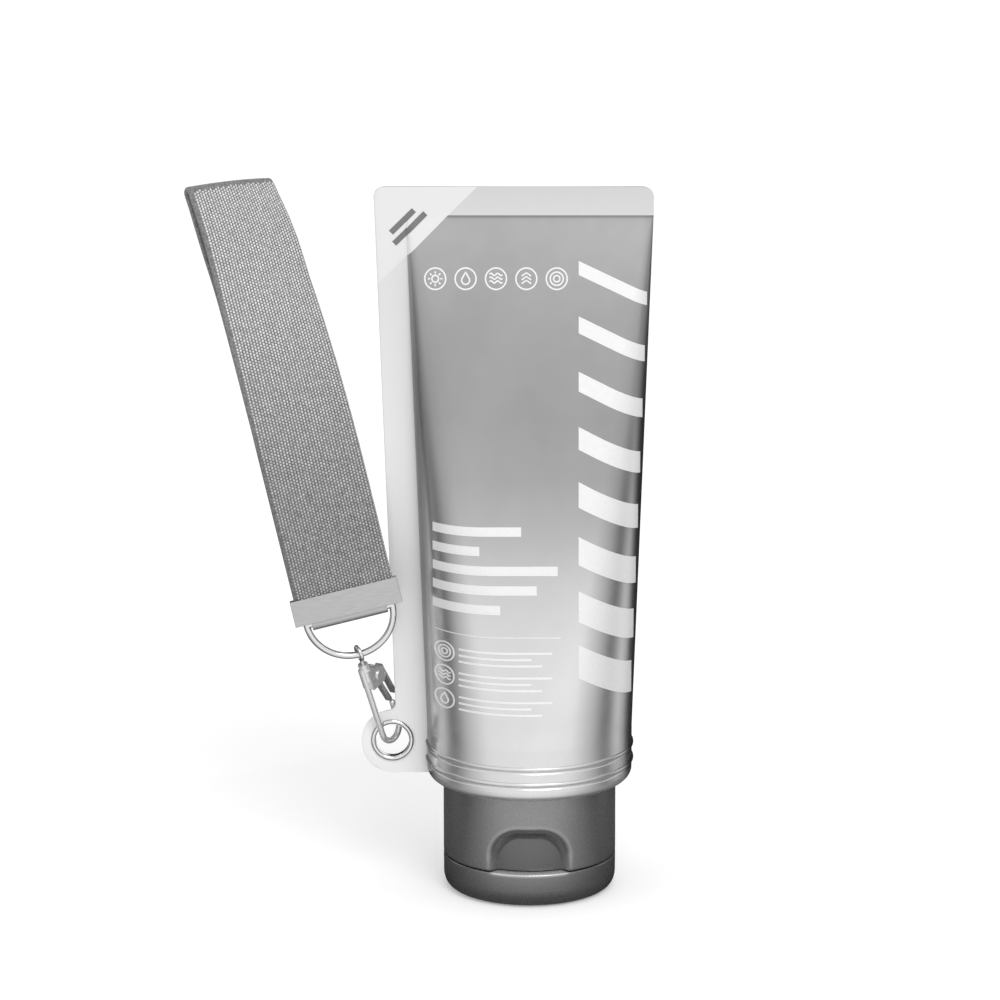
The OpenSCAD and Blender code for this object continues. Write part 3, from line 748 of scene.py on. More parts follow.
# %% [markdown]
# ## The cap's plastic
# The cap is a pearly dark grey: flakes in the plastic give it a soft metallic sheen, so it is part metal in
# the shader. A very fine noise in the roughness keeps the sheen from looking like glass, and a faint bump
# stands for the mould's texture. The recess is painted darker, as painted shade, and the rim of the recess
# and the lid's ledge are painted paler and less metallic, as a painted highlight.

# %% Cap finish
# The recess tone is painted shade.
CAP_TONES, RECESS_SHADE_TONE, RIM_HIGHLIGHT_TONE = (139, 145), 108, 220
# The rim's tone above and its metal here make a painted highlight on the recess's rim and the lid's ledge.
CAP_METAL, RIM_HIGHLIGHT_METAL = 0.85, 0.45


def cap_plastic():
    finish = Finish("cap_plastic", 142, Metallic=CAP_METAL, Roughness=0.28, IOR=1.5)
    flakes = finish.span(finish.noise(2600, 2), 0.35, 0.65, 0.0, 1.0)
    recess_shade = finish.add("ShaderNodeAttribute", attribute_name="recess").outputs["Fac"]
    rim = finish.add("ShaderNodeAttribute", attribute_name="rim").outputs["Fac"]
    # Painted shade: the recess is painted darker than the rest of the cap.
    flakes_and_recess_shade = finish.mix(recess_shade, finish.mix(flakes, *CAP_TONES), RECESS_SHADE_TONE)
    # Painted highlight: the rim and the ledge are painted paler and less metallic.
    finish.colour(finish.mix(rim, flakes_and_recess_shade, RIM_HIGHLIGHT_TONE))
    finish.join(finish.span(rim, 0.0, 1.0, CAP_METAL, RIM_HIGHLIGHT_METAL), finish.shader.inputs["Metallic"])
    finish.rough(finish.varied(finish.noise(1500, 2), 0.27, 0.3))
    finish.bump(finish.noise(3500, 2), 0.00001, 0.08)
    return finish


cap_finish = cap_plastic()
for part in (cap_body, cap_lid, web):
    dress(part, cap_finish)
print("cap finish on three pieces")

# %% [markdown]
# ## The path of the webbing
# Webbing is a flat woven band. Here it leaves the ferrule as two layers, folds over at the top and comes back
# down, and the whole loop bends to the back on a slanted arc. A formula gives the line of the loop, so the
# band keeps its true width and length all the way, as real webbing does.

# %% Path of the webbing, in millimetres
STRAP_W, STRAP_T = 19.6, 1.0
STRAP_LEAN, STRAP_TIP, STRAP_YAW, STRAP_BACK = 12.7, 8.0, 4.0, 16.0
STRAP_FOOT, CLAMP_TOP, FOLD_Z, BULGE_Z = 1.33, 5.2, 86.8, 63.7
LAYER_MID, FOLD_HALF = 0.6, 0.9
LOOP_GAP, FOLD_GAP = 1.8, 0.8
BEND_ANGLE, BEND_SLANT = math.radians(43), math.radians(57)
bend_start = CLAMP_TOP * math.cos(BEND_SLANT) + STRAP_W / 2 * math.sin(BEND_SLANT)
bend_r = (FOLD_Z * math.cos(BEND_SLANT) - bend_start) / BEND_ANGLE
bar_at = Vector(next(j for j in frame["joints"] if j["name"] == "ferrule_swing")["pos_m"]) / MM
strap_turn = (Matrix.Rotation(math.radians(-STRAP_LEAN), 3, "Y")
              @ Matrix.Rotation(math.radians(STRAP_TIP), 3, "X")
              @ Matrix.Rotation(math.radians(STRAP_YAW), 3, "Z")
              @ Matrix.Rotation(math.radians(-STRAP_BACK), 3, "X"))


def layer_at(z):
    """Half the distance between the middles of the two layers at a height."""
    share = min(1.0, max(0.0, (z - BULGE_Z) / (FOLD_Z - BULGE_Z)))
    drop = (LOOP_GAP - FOLD_GAP) / 2 * math.sin(math.pi * share) ** 2
    return LAYER_MID + (FOLD_HALF - LAYER_MID) * smooth(share) + drop


def bent(x, y, z):
    """A point of the flat loop, bent to the back about a line that runs slanted across the band."""
    c, s = math.cos(BEND_SLANT), math.sin(BEND_SLANT)
    along, out = x * c - z * s, x * s + z * c
    angle = max(0.0, out - bend_start) / bend_r
    back = bend_r - (bend_r - y) * math.cos(angle)
    up = min(out, bend_start) + (bend_r - y) * math.sin(angle)
    return bar_at + strap_turn @ Vector((along * c + up * s, back, up * c - along * s))


RUN_POINTS, FOLD_POINTS = 121, 15
run = spread(STRAP_FOOT, FOLD_Z, RUN_POINTS)
loop = [(-layer_at(z), z) for z in run]
loop += [(-FOLD_HALF * math.cos(a), FOLD_Z + FOLD_HALF * math.sin(a))
         for a in spread(0, math.pi, FOLD_POINTS)[1:-1]]
loop += [(layer_at(z), z) for z in run[::-1]]
loop = [Vector(p) for p in loop]
walked = [0.0]
for near, far in zip(loop, loop[1:]):
    walked.append(walked[-1] + (far - near).length)
loop_length = walked[-1]
print(f"the loop's webbing is {loop_length:.1f} mm long when it is laid flat")

# %% [markdown]
# ## The band and its map
# Each ring across the band is a flat strip with round selvages. The UV map runs across the outer face from 0
# to 1 and along the band from 0 to 1, and the hidden inner face lies beside it, past 1. The weave in the next
# step reads that map, so it follows every bend of the cloth.

# %% Build the band
FACE_POINTS, EDGE_POINTS = 15, 7
BAND_MAP = "band_map"


def band_outline():
    """The band's section, from its outer face round to its inner one: across and outwards."""
    half_w, half_t = STRAP_W / 2 - STRAP_T / 2, STRAP_T / 2
    outer = [(x, half_t) for x in spread(-half_w, half_w, FACE_POINTS)]
    right = [(half_w + half_t * math.sin(a), half_t * math.cos(a))
             for a in spread(0, math.pi, EDGE_POINTS)[1:-1]]
    inner = [(-x, -half_t) for x, _ in outer]
    return outer + right + inner + [(-x, -y) for x, y in right]


outline = band_outline()
rings = []
for i, place in enumerate(loop):
    way = (loop[min(i + 1, len(loop) - 1)] - loop[max(i - 1, 0)]).normalized()
    outward = Vector((-way.y, way.x))
    rings.append([bent(x, place.x + outward.x * out, place.y + outward.y * out) for x, out in outline])
band = skin("webbing_band", rings)
across = [0.0]
for near, far in zip(outline, outline[1:] + outline[:1]):
    across.append(across[-1] + math.hypot(far[0] - near[0], far[1] - near[1]) / STRAP_W)
band_uv = band.data.uv_layers.new(name=BAND_MAP)
for face in band.data.polygons:
    slots = [band.data.loops[k].vertex_index % len(outline) for k in face.loop_indices]
    for corner_index, slot_index in zip(face.loop_indices, slots):
        row = band.data.loops[corner_index].vertex_index // len(outline)
        closing = slot_index == 0 and len(outline) - 1 in slots
        u = across[-1] if closing else across[slot_index]
        band_uv.data[corner_index].uv = (u, walked[row] / loop_length)
print("band:", len(band.data.polygons), "faces")

# %% [markdown]
# ## Twill floats
# In a twill each yarn floats over a few others before it dives, and the floats step sideways from row to
# row. A picture of that would blur close up, so the floats are real geometry. Geometry Nodes set a grid of
# points out on the band's map, read the cloth's place and direction at each, and put a small yarn there.

# %% The tree of the twill
FLOAT_INPUTS = (("Columns", "Int"), ("Rows", "Int"), ("Step", "Float"), ("Margin", "Float"),
                ("Width", "Float"), ("Length", "Float"), ("Height", "Float"), ("Fold", "Float"),
                ("Finish", "Material"))
LOOK_AHEAD = 0.002


def twill_tree():
    tree = bpy.data.node_groups.new("twill_floats", "GeometryNodeTree")
    tree.interface.new_socket("Band", in_out="INPUT", socket_type="NodeSocketGeometry")
    for name, kind in FLOAT_INPUTS:
        tree.interface.new_socket(name, in_out="INPUT", socket_type="NodeSocket" + kind)
    tree.interface.new_socket("Floats", in_out="OUTPUT", socket_type="NodeSocketGeometry")
    given = tree.nodes.new("NodeGroupInput").outputs

    def put(kind, sockets, **settings):
        """A node with its settings, and its sockets joined or set."""
        node = tree.nodes.new(kind)
        for key, value in settings.items():
            setattr(node, key, value)
        for socket, value in sockets.items():
            if isinstance(value, bpy.types.NodeSocket):
                tree.links.new(value, node.inputs[socket])
            else:
                node.inputs[socket].default_value = value
        return node

    def count(operation, *values):
        return put("ShaderNodeMath", dict(enumerate(values)), operation=operation).outputs[0]

    grid = put("GeometryNodeMeshGrid", {"Size X": 1.0, "Size Y": 1.0, "Vertices X": given["Columns"],
                                        "Vertices Y": given["Rows"]})
    place = tree.nodes.new("GeometryNodeInputPosition").outputs[0]
    parts = put("ShaderNodeSeparateXYZ", {0: place}).outputs
    over = count("ADD", parts[0], 0.5)
    along = count("ADD", parts[1], 0.5)
    column = count("ROUND", count("MULTIPLY", over, count("SUBTRACT", given["Columns"], 1.0)))
    shift = count("DIVIDE", count("FRACT", count("MULTIPLY", column, given["Step"])), given["Rows"])
    inner = count("SUBTRACT", 1.0, count("MULTIPLY", given["Margin"], 2.0))
    u = count("ADD", count("MULTIPLY", over, inner), given["Margin"])
    v = count("ADD", along, shift)

    def sampled(value, at_v):
        spot = put("ShaderNodeCombineXYZ", {0: u, 1: at_v}).outputs[0]
        own_map = put("GeometryNodeInputNamedAttribute", {"Name": BAND_MAP}, data_type="FLOAT_VECTOR")
        return put("GeometryNodeSampleUVSurface", {"Mesh": given["Band"], "Value": value, "Sample UV": spot,
                                                   "UV Map": own_map.outputs[0]}, data_type="FLOAT_VECTOR")

    here = sampled(place, v)
    ahead = sampled(place, count("ADD", v, LOOK_AHEAD)).outputs[0]
    normal = sampled(tree.nodes.new("GeometryNodeInputNormal").outputs[0], v).outputs[0]
    line = put("ShaderNodeVectorMath", {0: ahead, 1: here.outputs[0]}, operation="SUBTRACT").outputs[0]
    from_fold = count("ABSOLUTE", count("SUBTRACT", v, 0.5))
    keep = put("FunctionNodeBooleanMath", {0: here.outputs["Is Valid"],
               1: count("GREATER_THAN", from_fold, given["Fold"])}, operation="AND").outputs[0]
    kept = tree.nodes.new("GeometryNodeCaptureAttribute")
    for name, kind in (("Place", "VECTOR"), ("Normal", "VECTOR"), ("Line", "VECTOR"), ("Keep", "BOOLEAN")):
        kept.capture_items.new(kind, name)
    tree.links.new(grid.outputs["Mesh"], kept.inputs["Geometry"])
    for name, value in (("Place", here.outputs[0]), ("Normal", normal), ("Line", line), ("Keep", keep)):
        tree.links.new(value, kept.inputs[name])
    moved = put("GeometryNodeSetPosition", {"Geometry": kept.outputs["Geometry"],
                                            "Position": kept.outputs["Place"]})
    turn = put("FunctionNodeAxesToRotation", {0: kept.outputs["Normal"], 1: kept.outputs["Line"]},
               primary_axis="Z", secondary_axis="Y").outputs[0]
    yarn = put("GeometryNodeMeshUVSphere", {"Segments": 5, "Rings": 3, "Radius": 1.0}).outputs["Mesh"]
    half_width, half_length = (count("DIVIDE", given[name], 2.0) for name in ("Width", "Length"))
    size = put("ShaderNodeCombineXYZ", {0: half_width, 1: half_length, 2: given["Height"]}).outputs[0]
    floats = put("GeometryNodeInstanceOnPoints", {
        "Points": moved.outputs[0], "Selection": kept.outputs["Keep"], "Instance": yarn, "Rotation": turn,
        "Scale": size})
    real = put("GeometryNodeRealizeInstances", {"Geometry": floats.outputs[0]}).outputs[0]
    dressed = put("GeometryNodeSetMaterial", {"Geometry": real, "Material": given["Finish"]}).outputs[0]
    tree.links.new(dressed, tree.nodes.new("NodeGroupOutput").inputs[0])
    return tree


print("twill tree ready")

# %% [markdown]
# ## The webbing's finish
# Polyester webbing is dull and grey: light yarns over dark gaps. The ground carries fine cross ribs on the
# band's own map, and the yarns take a little sheen and vary in tone from one to the next. The upper part is
# painted paler as painted light, where the loop bends back and faces up, and the lower part darker as painted
# shade.

# %% Webbing finishes and the floats
# The upper tones are painted light, and the lower ones painted shade.
PAINTED_LIGHT_FROM_TO = (0.066, 0.122)
GROUND_TONES, LIT_GROUND_TONES = (92, 128), (108, 146)
YARN_TONES, LIT_YARN_TONES = (150, 198), (202, 246)


def webbing_ground():
    finish = Finish("webbing_ground", 112, Roughness=0.85, Sheen_Weight=0.15)
    own_map = finish.add("ShaderNodeUVMap", uv_map=BAND_MAP).outputs[0]
    yarns = finish.axes(own_map)
    ribs = finish.sum("SINE", finish.sum("MULTIPLY", yarns[1], 2 * math.pi * ROWS * 2))
    fuzz = finish.noise(2400, 3)
    patch = finish.varied(fuzz)
    # Painted light and shade: the ground's tones pale with height.
    painted_light = finish.span(finish.axes()[2], *PAINTED_LIGHT_FROM_TO)
    finish.colour(finish.mix(painted_light, finish.mix(patch, *GROUND_TONES), finish.mix(patch, *LIT_GROUND_TONES)))
    finish.bump(finish.sum("ADD", ribs, fuzz), 0.00005, 0.6)
    return finish


def webbing_yarn():
    finish = Finish("webbing_yarn", 196, Roughness=0.62, Sheen_Weight=0.25)
    strand = finish.varied(finish.noise(1500, 2))
    # Painted light and shade: the yarns' tones pale with height.
    painted_light = finish.span(finish.axes()[2], *PAINTED_LIGHT_FROM_TO)
    finish.colour(finish.mix(painted_light, finish.mix(strand, *YARN_TONES), finish.mix(strand, *LIT_YARN_TONES)))
    finish.rough(finish.varied(finish.noise(5200, 2), 0.5, 0.75))
    return finish


COLUMNS, ROWS = 33, 290
FLOAT_SIZES = {"Columns": COLUMNS, "Rows": ROWS, "Step": 0.42, "Margin": 0.03, "Width": 0.51 * MM,
               "Length": 0.64 * MM, "Height": 0.13 * MM, "Fold": 0.009}
dress(band, webbing_ground())
floats = bpy.data.objects.new("webbing_floats", band.data.copy())
bpy.context.scene.collection.objects.link(floats)
weave = floats.modifiers.new("twill", "NODES")
weave.node_group = twill_tree()
sockets = {s.name: s.identifier for s in weave.node_group.interface.items_tree if s.in_out == "INPUT"}
for name, value in FLOAT_SIZES.items():
    weave[sockets[name]] = value
weave[sockets["Finish"]] = webbing_yarn().material
apply_modifiers(floats)
for face in floats.data.polygons:
    face.use_smooth = True
for piece in (band, floats):
    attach(piece, "strap")
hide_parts("webbing_strap")
print("floats:", len(floats.data.polygons), "faces")

# %% [markdown]
# ## Metal
# The small fittings are plated steel. Polished plating is a mirror, but not a perfect one: a fine haze in its
# roughness and faint scratches keep it real. The ferrule is a satin sheet, whose grain runs across it.

# %% Metal and hidden finishes
def plated(name, tone, low, high, metal=1.0):
    finish = Finish(name, tone, Metallic=metal, Roughness=low)
    finish.rough(finish.span(finish.noise(1300, 3), 0.35, 0.7, low, high))
    finish.bump(finish.noise(2600, 2, (1, 1, 6)), 0.000008, 0.06)
    return finish


def satin_sheet():
    finish = Finish("satin_sheet", 192, Metallic=0.9, Roughness=0.34)
    grain = finish.noise(500, 4, (1, 12, 12))
    finish.colour(finish.mix(finish.varied(grain), 176, 184))
    finish.rough(finish.varied(grain, 0.3, 0.38))
    finish.bump(grain, 0.00001, 0.12)
    return finish


def plain_plastic(name, tone, rough):
    finish = Finish(name, tone, Roughness=rough)
    finish.rough(finish.varied(finish.noise(900, 2), rough * 0.9, rough * 1.15))
    finish.bump(finish.noise(1800, 2), 0.00001, 0.3)
    return finish


bright = plated("bright_plating", 220, 0.06, 0.12)
cast_plating = plated("cast_plating", 226, 0.2, 0.28, 0.6)
gate_plating = plated("gate_plating", 158, 0.26, 0.36, 0.6)
spring_steel = plated("spring_steel", 150, 0.2, 0.34)
finishes = {"eyelet": bright, "eyelet_washer": bright, "clasp_body": cast_plating, "clasp_gate": gate_plating,
            "gate_rivet": cast_plating, "swivel_eye": bright, "d_ring": bright, "gate_spring": spring_steel,
            "shoulder": plain_plastic("moulded_head", 236, 0.4),
            "lotion_fill": plain_plastic("lotion", 242, 0.3)}
for name, finish in finishes.items():
    dress(frame["nodes"][name], finish)
print("finishes on", len(finishes), "CAD nodes")

# %% [markdown]
# ## The ferrule's folded edges
# Sheet that is folded and stamped never has a knife edge. The ferrule is copied from the model, its loose
# triangles are merged, and a small bevel rounds its edges so that they catch a line of light.

# %% Round the ferrule's edges
FOLD_R = 0.22
ferrule_mesh = bmesh.new()
ferrule_mesh.from_mesh(frame["nodes"]["strap_ferrule"].data)
bmesh.ops.remove_doubles(ferrule_mesh, verts=ferrule_mesh.verts, dist=MERGE)
bmesh.ops.dissolve_limit(ferrule_mesh, angle_limit=math.radians(1), verts=ferrule_mesh.verts,
                         edges=ferrule_mesh.edges)
ferrule = finish_mesh("ferrule_sheet", ferrule_mesh)
folds = ferrule.modifiers.new("folds", "BEVEL")
folds.width = FOLD_R * MM
folds.segments = 3
folds.limit_method = "ANGLE"
folds.angle_limit = math.radians(50)
folds.harden_normals = True
apply_modifiers(ferrule)
dress(ferrule, satin_sheet())
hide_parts("strap_ferrule")
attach(ferrule, "strap")
print("ferrule:", len(ferrule.data.polygons), "faces")

# %% [markdown]
# ## Print on the film
# Ink on film has a small thickness. Each motif here is made of strokes: paths with a width, laid on the
# film's own surface and closed underneath, so they follow the tube at any angle. A mask in the film's finish
# could print the same design, but its edges would have no thickness. The design is a generic one of rings,
# plain rules and slanted stripes.

# %% A stroke of ink on the film
INK_PROUD, INK_SUNK = 0.05, 0.05
END_GAP = 0.3


def on_film(x, z, lift):
    """A point on the front of the film, raised by a lift, and never past the body's right end."""
    x = min(x, sum(section(z)) - END_GAP)
    y, outward = front_of_film(x, z)
    return Vector((x, y, z)) + outward * lift


def stroke(bm, path, width, across=2, closed=False, upright=False):
    """Lay a path of x and z on the film as a closed strip of ink; an upright one has its width along z."""
    rings = []
    for i, (x, z) in enumerate(path):
        after = path[(i + 1) % len(path)] if closed else path[min(i + 1, len(path) - 1)]
        before = path[i - 1] if closed or i else path[0]
        side = Vector((0, 1) if upright else (before[1] - after[1], after[0] - before[0])).normalized()
        row = [(x + side.x * s, z + side.y * s) for s in spread(-width / 2, width / 2, across)]
        rings.append([on_film(*p, INK_PROUD) for p in row] + [on_film(*p, -INK_SUNK) for p in row[::-1]])
    add_rings(bm, rings, wrap=closed)


def circle(x, z, radius, count=33, start=0.0, stop=2 * math.pi):
    return [(x + radius * math.cos(a), z + radius * math.sin(a)) for a in spread(start, stop, count)]


def straight(a, b, step=0.8):
    count = max(2, math.ceil(math.dist(a, b) / step) + 1)
    return [(x, z) for x, z in zip(spread(a[0], b[0], count), spread(a[1], b[1], count))]


print("ink helper ready")

# %% [markdown]
# ## The layout of the print
# A short row of ringed marks sits near the top: sun, drop, wave, and plain shapes. Solid rules stand where a
# label's lines would be, three smaller ringed marks with fine rules lie under them, and broad slanted
# stripes that grow towards the foot run down the right side.

# %% Draw the print
LINE = 0.28
ROW_Z, ROW_R, ROW_FROM_TO = 122.0, 2.0, (-18.0, 5.2)
RULE_Z, RULE_STEP, RULE_LEFT, RULE_THICK, RULE_REACHES = 74.6, 3.7, -18.6, 1.75, (17, 9, 24, 20, 13)
DIVIDER_Z, DIVIDER_FROM_TO, DIVIDER_THICK = 54.6, (-18.2, 6.0), 0.14
SMALL_HEIGHTS, SMALL_X, SMALL_R = (50.6, 45.9, 41.2), -16.4, 1.85
FINE_LEFT, FINE_THICK, FINE_RULES = -13.6, 0.38, ((1.0, 18), (-0.2, 14), (-1.4, 16))
STRIPES, STRIPE_Z, STRIPE_STEP, STRIPE_FALL = 8, 124.0, 10.6, 6.0
STRIPE_LEFT, STRIPE_GAP, STRIPE_THICK, STRIPE_GROWS = 9.4, 0.7, 2.6, 0.55
BARS, BAR_THICK, BAR_DROP = ((0.44, 6.2), (0.30, 8.4)), 1.1, 1.2


def sun(bm, x, z, r):
    stroke(bm, circle(x, z, r * 0.32)[:-1], LINE, closed=True)
    for a in spread(0, 2 * math.pi, 9)[:-1]:
        c, s = math.cos(a) * r, math.sin(a) * r
        stroke(bm, straight((x + c * 0.48, z + s * 0.48), (x + c * 0.7, z + s * 0.7), 0.3), LINE)


def drop(bm, x, z, r):
    bowl = circle(x, z - r * 0.15, r * 0.38, 17, math.pi * 0.85, math.pi * 2.15)
    tip = (x, z + r * 0.62)
    down, up = straight(tip, bowl[0], 0.4)[:-1], straight(bowl[-1], tip, 0.4)[1:-1]
    stroke(bm, down + bowl + up, LINE, closed=True)


def wave(bm, x, z, r):
    for up in (-0.3, 0.05, 0.4):
        path = [(x + t * r * 0.62, z + r * (up + 0.11 * math.sin(t * 6))) for t in spread(-1, 1, 15)]
        stroke(bm, path, LINE)


def target(bm, x, z, r):
    for share in (0.3, 0.62):
        stroke(bm, circle(x, z, r * share)[:-1], LINE, closed=True)


def chevrons(bm, x, z, r):
    for up in (-0.45, -0.1, 0.25):
        points = [(x - r * 0.45, z + r * up), (x, z + r * (up + 0.3)), (x + r * 0.45, z + r * up)]
        stroke(bm, points, LINE)


def ringed(bm, motif, x, z, r):
    stroke(bm, circle(x, z, r)[:-1], LINE, closed=True)
    motif(bm, x, z, r)


ink_white, ink_pale, ink_dark = bmesh.new(), bmesh.new(), bmesh.new()
for motif, x in zip((sun, drop, wave, chevrons, target), spread(*ROW_FROM_TO, 5)):
    ringed(ink_white, motif, x, ROW_Z, ROW_R)
for i, reach in enumerate(RULE_REACHES):
    z = RULE_Z - RULE_STEP * i
    stroke(ink_white, straight((RULE_LEFT, z), (RULE_LEFT + reach, z)), RULE_THICK, across=3)
stroke(ink_pale, straight(*[(x, DIVIDER_Z) for x in DIVIDER_FROM_TO]), DIVIDER_THICK)
for motif, z in zip((target, wave, drop), SMALL_HEIGHTS):
    ringed(ink_pale, motif, SMALL_X, z, SMALL_R)
    for up, reach in FINE_RULES:
        stroke(ink_pale, straight((FINE_LEFT, z + up), (FINE_LEFT + reach, z + up)), FINE_THICK)
for i in range(STRIPES):
    z, thick = STRIPE_Z - STRIPE_STEP * i, STRIPE_THICK + STRIPE_GROWS * i
    edge = sum(section(z - STRIPE_FALL)) - STRIPE_GAP
    stroke(ink_white, straight((STRIPE_LEFT, z), (edge, z - STRIPE_FALL), 0.2), thick, across=9, upright=True)
for start, reach in BARS:
    share = (1 - start) * 0.5
    base = Vector((fin_edge(TOP_Z) + CORNER_W * share, TOP_Z - CORNER_H * share - BAR_DROP))
    step = Vector((CORNER_W, CORNER_H)).normalized() * reach / 2
    stroke(ink_dark, straight(tuple(base - step), tuple(base + step), 0.7), BAR_THICK, across=3)
print("ink strokes drawn")

# %% [markdown]
# ## The ink's finish
# Screen ink is opaque and a little duller than the film. Its shader is part metal, so it takes some of the
# tube's light and shade and belongs to the surface. A plain flat white would look pasted on.

# %% Ink finishes
INKS = (("ink_white", ink_white, 236), ("ink_pale", ink_pale, 238), ("ink_dark", ink_dark, 120))
for name, bm, tone in INKS:
    ink = finish_mesh(name, bm)
    finish = Finish(name, tone, Roughness=0.4, Metallic=0.3)
    finish.colour(finish.mix(finish.varied(finish.noise(1500, 3)), tone - 3, tone))
    finish.rough(finish.varied(finish.noise(2200, 2), 0.34, 0.42))
    dress(ink, finish)
    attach(ink, "tube")
    print(name, len(ink.data.polygons), "faces")

# %% [markdown]
# ## The floor
# The tube stands on white paper. Lit as strongly as white paper needs, the object would clip to white too, so
# the paper glows a little for the camera and for reflections, and still takes the object's shadow.

# %% Floor
FLOOR_HALF = 3.0
FLOOR_SEEN, FLOOR_MIRRORED = 0.24, 0.14
floor_mesh = bmesh.new()
bmesh.ops.create_grid(floor_mesh, x_segments=1, y_segments=1, size=FLOOR_HALF)
floor = finish_mesh("floor", floor_mesh)
floor_finish = Finish("floor_paper", 250, Roughness=0.9)
paths = floor_finish.add("ShaderNodeLightPath").outputs
mirrored = floor_finish.sum("MAXIMUM", paths["Is Glossy Ray"], paths["Is Transmission Ray"])
glow = floor_finish.sum("MAXIMUM", floor_finish.sum("MULTIPLY", paths["Is Camera Ray"], FLOOR_SEEN),
                        floor_finish.sum("MULTIPLY", mirrored, FLOOR_MIRRORED))
floor_finish.shader.inputs["Emission Color"].default_value = (1, 1, 1, 1)
floor_finish.join(glow, floor_finish.shader.inputs["Emission Strength"])
dress(floor, floor_finish)
print("floor", 2 * FLOOR_HALF, "m wide")

# %% [markdown]
# ## The room
# The room is a white one: the world is white where the camera or a reflection sees it, and softer where it
# lights dull surfaces, which keeps their tones near the ones they are given.

# %% World
ROOM_LIGHT = 0.76
world = bpy.data.worlds.new("white_room")
world.use_nodes = True
bpy.context.scene.world = world
room = world.node_tree
back = room.nodes["Background"]
back.inputs["Color"].default_value = (1, 1, 1, 1)
rays = room.nodes.new("ShaderNodeLightPath").outputs
shown = rays["Is Camera Ray"]
for ray in ("Is Glossy Ray", "Is Transmission Ray"):
    either = room.nodes.new("ShaderNodeMath")
    either.operation = "MAXIMUM"
    room.links.new(shown, either.inputs[0])
    room.links.new(rays[ray], either.inputs[1])
    shown = either.outputs[0]
level = room.nodes.new("ShaderNodeMapRange")
level.inputs["To Min"].default_value = ROOM_LIGHT
level.inputs["To Max"].default_value = 1.0
room.links.new(shown, level.inputs["Value"])
room.links.new(level.outputs["Result"], back.inputs["Strength"])
bpy.context.scene.view_settings.view_transform = "Standard"
print("world lights dull surfaces at", ROOM_LIGHT)

# %% [markdown]
# ## Graded cards and the key light
# Shiny film shows its room, so graded cards stand at its sides and lie round its foot, as in a product
# photograph. Only reflections see them, and they draw the soft dark bands down the tube. Painting the bands
# on the film would be quicker, but they would stay put when the tube or the camera turns. A large soft light
# from the front right adds gentle shadows.

# %% Graded cards and a soft key light
AIM = Vector((0, 0, 0.07))
KEY_AT, KEY_SIZE, KEY_WATTS, KEY_GLOSS = Vector((0.35, -1.2, 1.2)), 0.9, 9.0, 0.15
CARD_NEAR, CARD_FAR, CARD_TOP, CARD_FLOOR = 0.012, 0.096, 0.42, 0.0004
LOW_TONES = ((44, 255), (66, 190), (81, 50), (88, 60), (104, 228), (126, 64), (166, 60), (176, 255))
HIGH_TONES = ((44, 255), (70, 245), (84, 205), (100, 205), (126, 64), (166, 60), (176, 255))
FLOOR_TONES = ((0, 255), (30, 240), (54, 188), (84, 112), (124, 88), (180, 88))
LOW_TO_HIGH = (0.05, 0.09)
# Near the cap the floor cards dim, as a painted shadow of the cap that only reflections see.
SHADE_FROM_TO, SHADE = (0.016, 0.046), 0.1


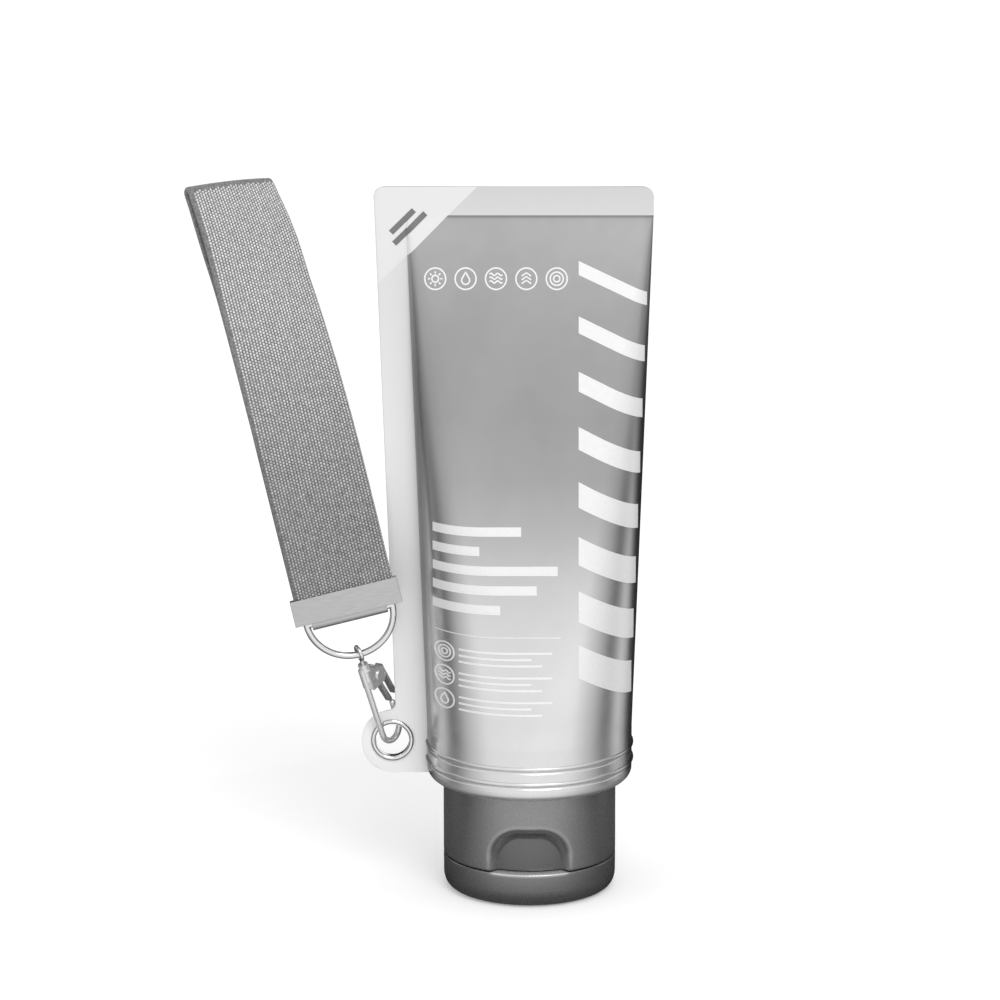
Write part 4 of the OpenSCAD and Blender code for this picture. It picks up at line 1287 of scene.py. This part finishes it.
def card(name, side, profile, low_tones, high_tones):
    """A curved card, graded by its angle from the camera's side, which only reflections see."""
    bm = bmesh.new()
    start, stop = math.radians(low_tones[0][0]), math.radians(low_tones[-1][0])
    rows = [[bm.verts.new((side * r * math.sin(a), -r * math.cos(a), z)) for a in spread(start, stop, 25)]
            for r, z in profile]
    for low, high in zip(rows, rows[1:]):
        for i in range(len(low) - 1):
            bm.faces.new((low[i], low[i + 1], high[i + 1], high[i]))
    panel = finish_mesh(name, bm)
    finish = Finish(name, 0, Roughness=1.0, Specular_IOR_Level=0.0)
    x, y, z = finish.axes()
    turn = finish.sum("ARCTAN2", finish.sum("ABSOLUTE", x), finish.sum("MULTIPLY", y, -1.0))
    share = finish.sum("DIVIDE", turn, math.pi)
    low_ramp, high_ramp = (finish.ramp(share, [(a / 180, tone) for a, tone in tones])
                           for tones in (low_tones, high_tones))
    wedge = finish.mix(finish.span(z, *LOW_TO_HIGH), low_ramp, high_ramp)
    squares = finish.sum("ADD", finish.sum("MULTIPLY", x, x), finish.sum("MULTIPLY", y, y))
    reach = finish.sum("SQRT", squares)
    finish.join(wedge, finish.shader.inputs["Emission Color"])
    finish.join(finish.span(reach, *SHADE_FROM_TO, SHADE, 1.0), finish.shader.inputs["Emission Strength"])
    finish.material.cycles.emission_sampling = "NONE"
    dress(panel, finish)
    for sight in ("camera", "diffuse", "transmission", "shadow", "volume_scatter"):
        setattr(panel, "visible_" + sight, False)


near_edge, far_edge, top_edge = (CARD_NEAR, CARD_FLOOR), (CARD_FAR, CARD_FLOOR), (CARD_FAR, CARD_TOP)
for side, word in ((-1, "left"), (1, "right")):
    card("wall_card_" + word, side, (far_edge, top_edge), LOW_TONES, HIGH_TONES)
    card("floor_card_" + word, side, (near_edge, far_edge), FLOOR_TONES, FLOOR_TONES)
key = bpy.data.lights.new("key", "AREA")
key.shape = "DISK"
key.size = KEY_SIZE
key.energy = KEY_WATTS
key.specular_factor = KEY_GLOSS
key_light = bpy.data.objects.new("key", key)
key_light.location = KEY_AT
key_light.rotation_euler = (AIM - KEY_AT).to_track_quat("-Z", "Y").to_euler()
bpy.context.scene.collection.objects.link(key_light)
print("cards and key light set")

# %% [markdown]
# ## Camera
# A long lens from a little above, as in a shop photograph. The small shift places the tube where it stands
# in the frame without turning the camera, which would tilt the upright lines.

# %% Camera
CAMERA_AWAY, CAMERA_UP = 1.057, math.radians(14.5)
LENS, SENSOR, SHIFT = 196.3, 36, (-0.0295, 0.0384)
lens = bpy.data.cameras.new("camera")
lens.sensor_width = SENSOR
lens.lens = LENS
lens.shift_x, lens.shift_y = SHIFT
camera = bpy.data.objects.new("camera", lens)
camera.location = AIM + CAMERA_AWAY * Vector((0, -math.cos(CAMERA_UP), math.sin(CAMERA_UP)))
camera.rotation_euler = (AIM - camera.location).to_track_quat("-Z", "Y").to_euler()
bpy.context.scene.collection.objects.link(camera)
bpy.context.scene.camera = camera
print("camera at", [round(v, 4) for v in camera.location])
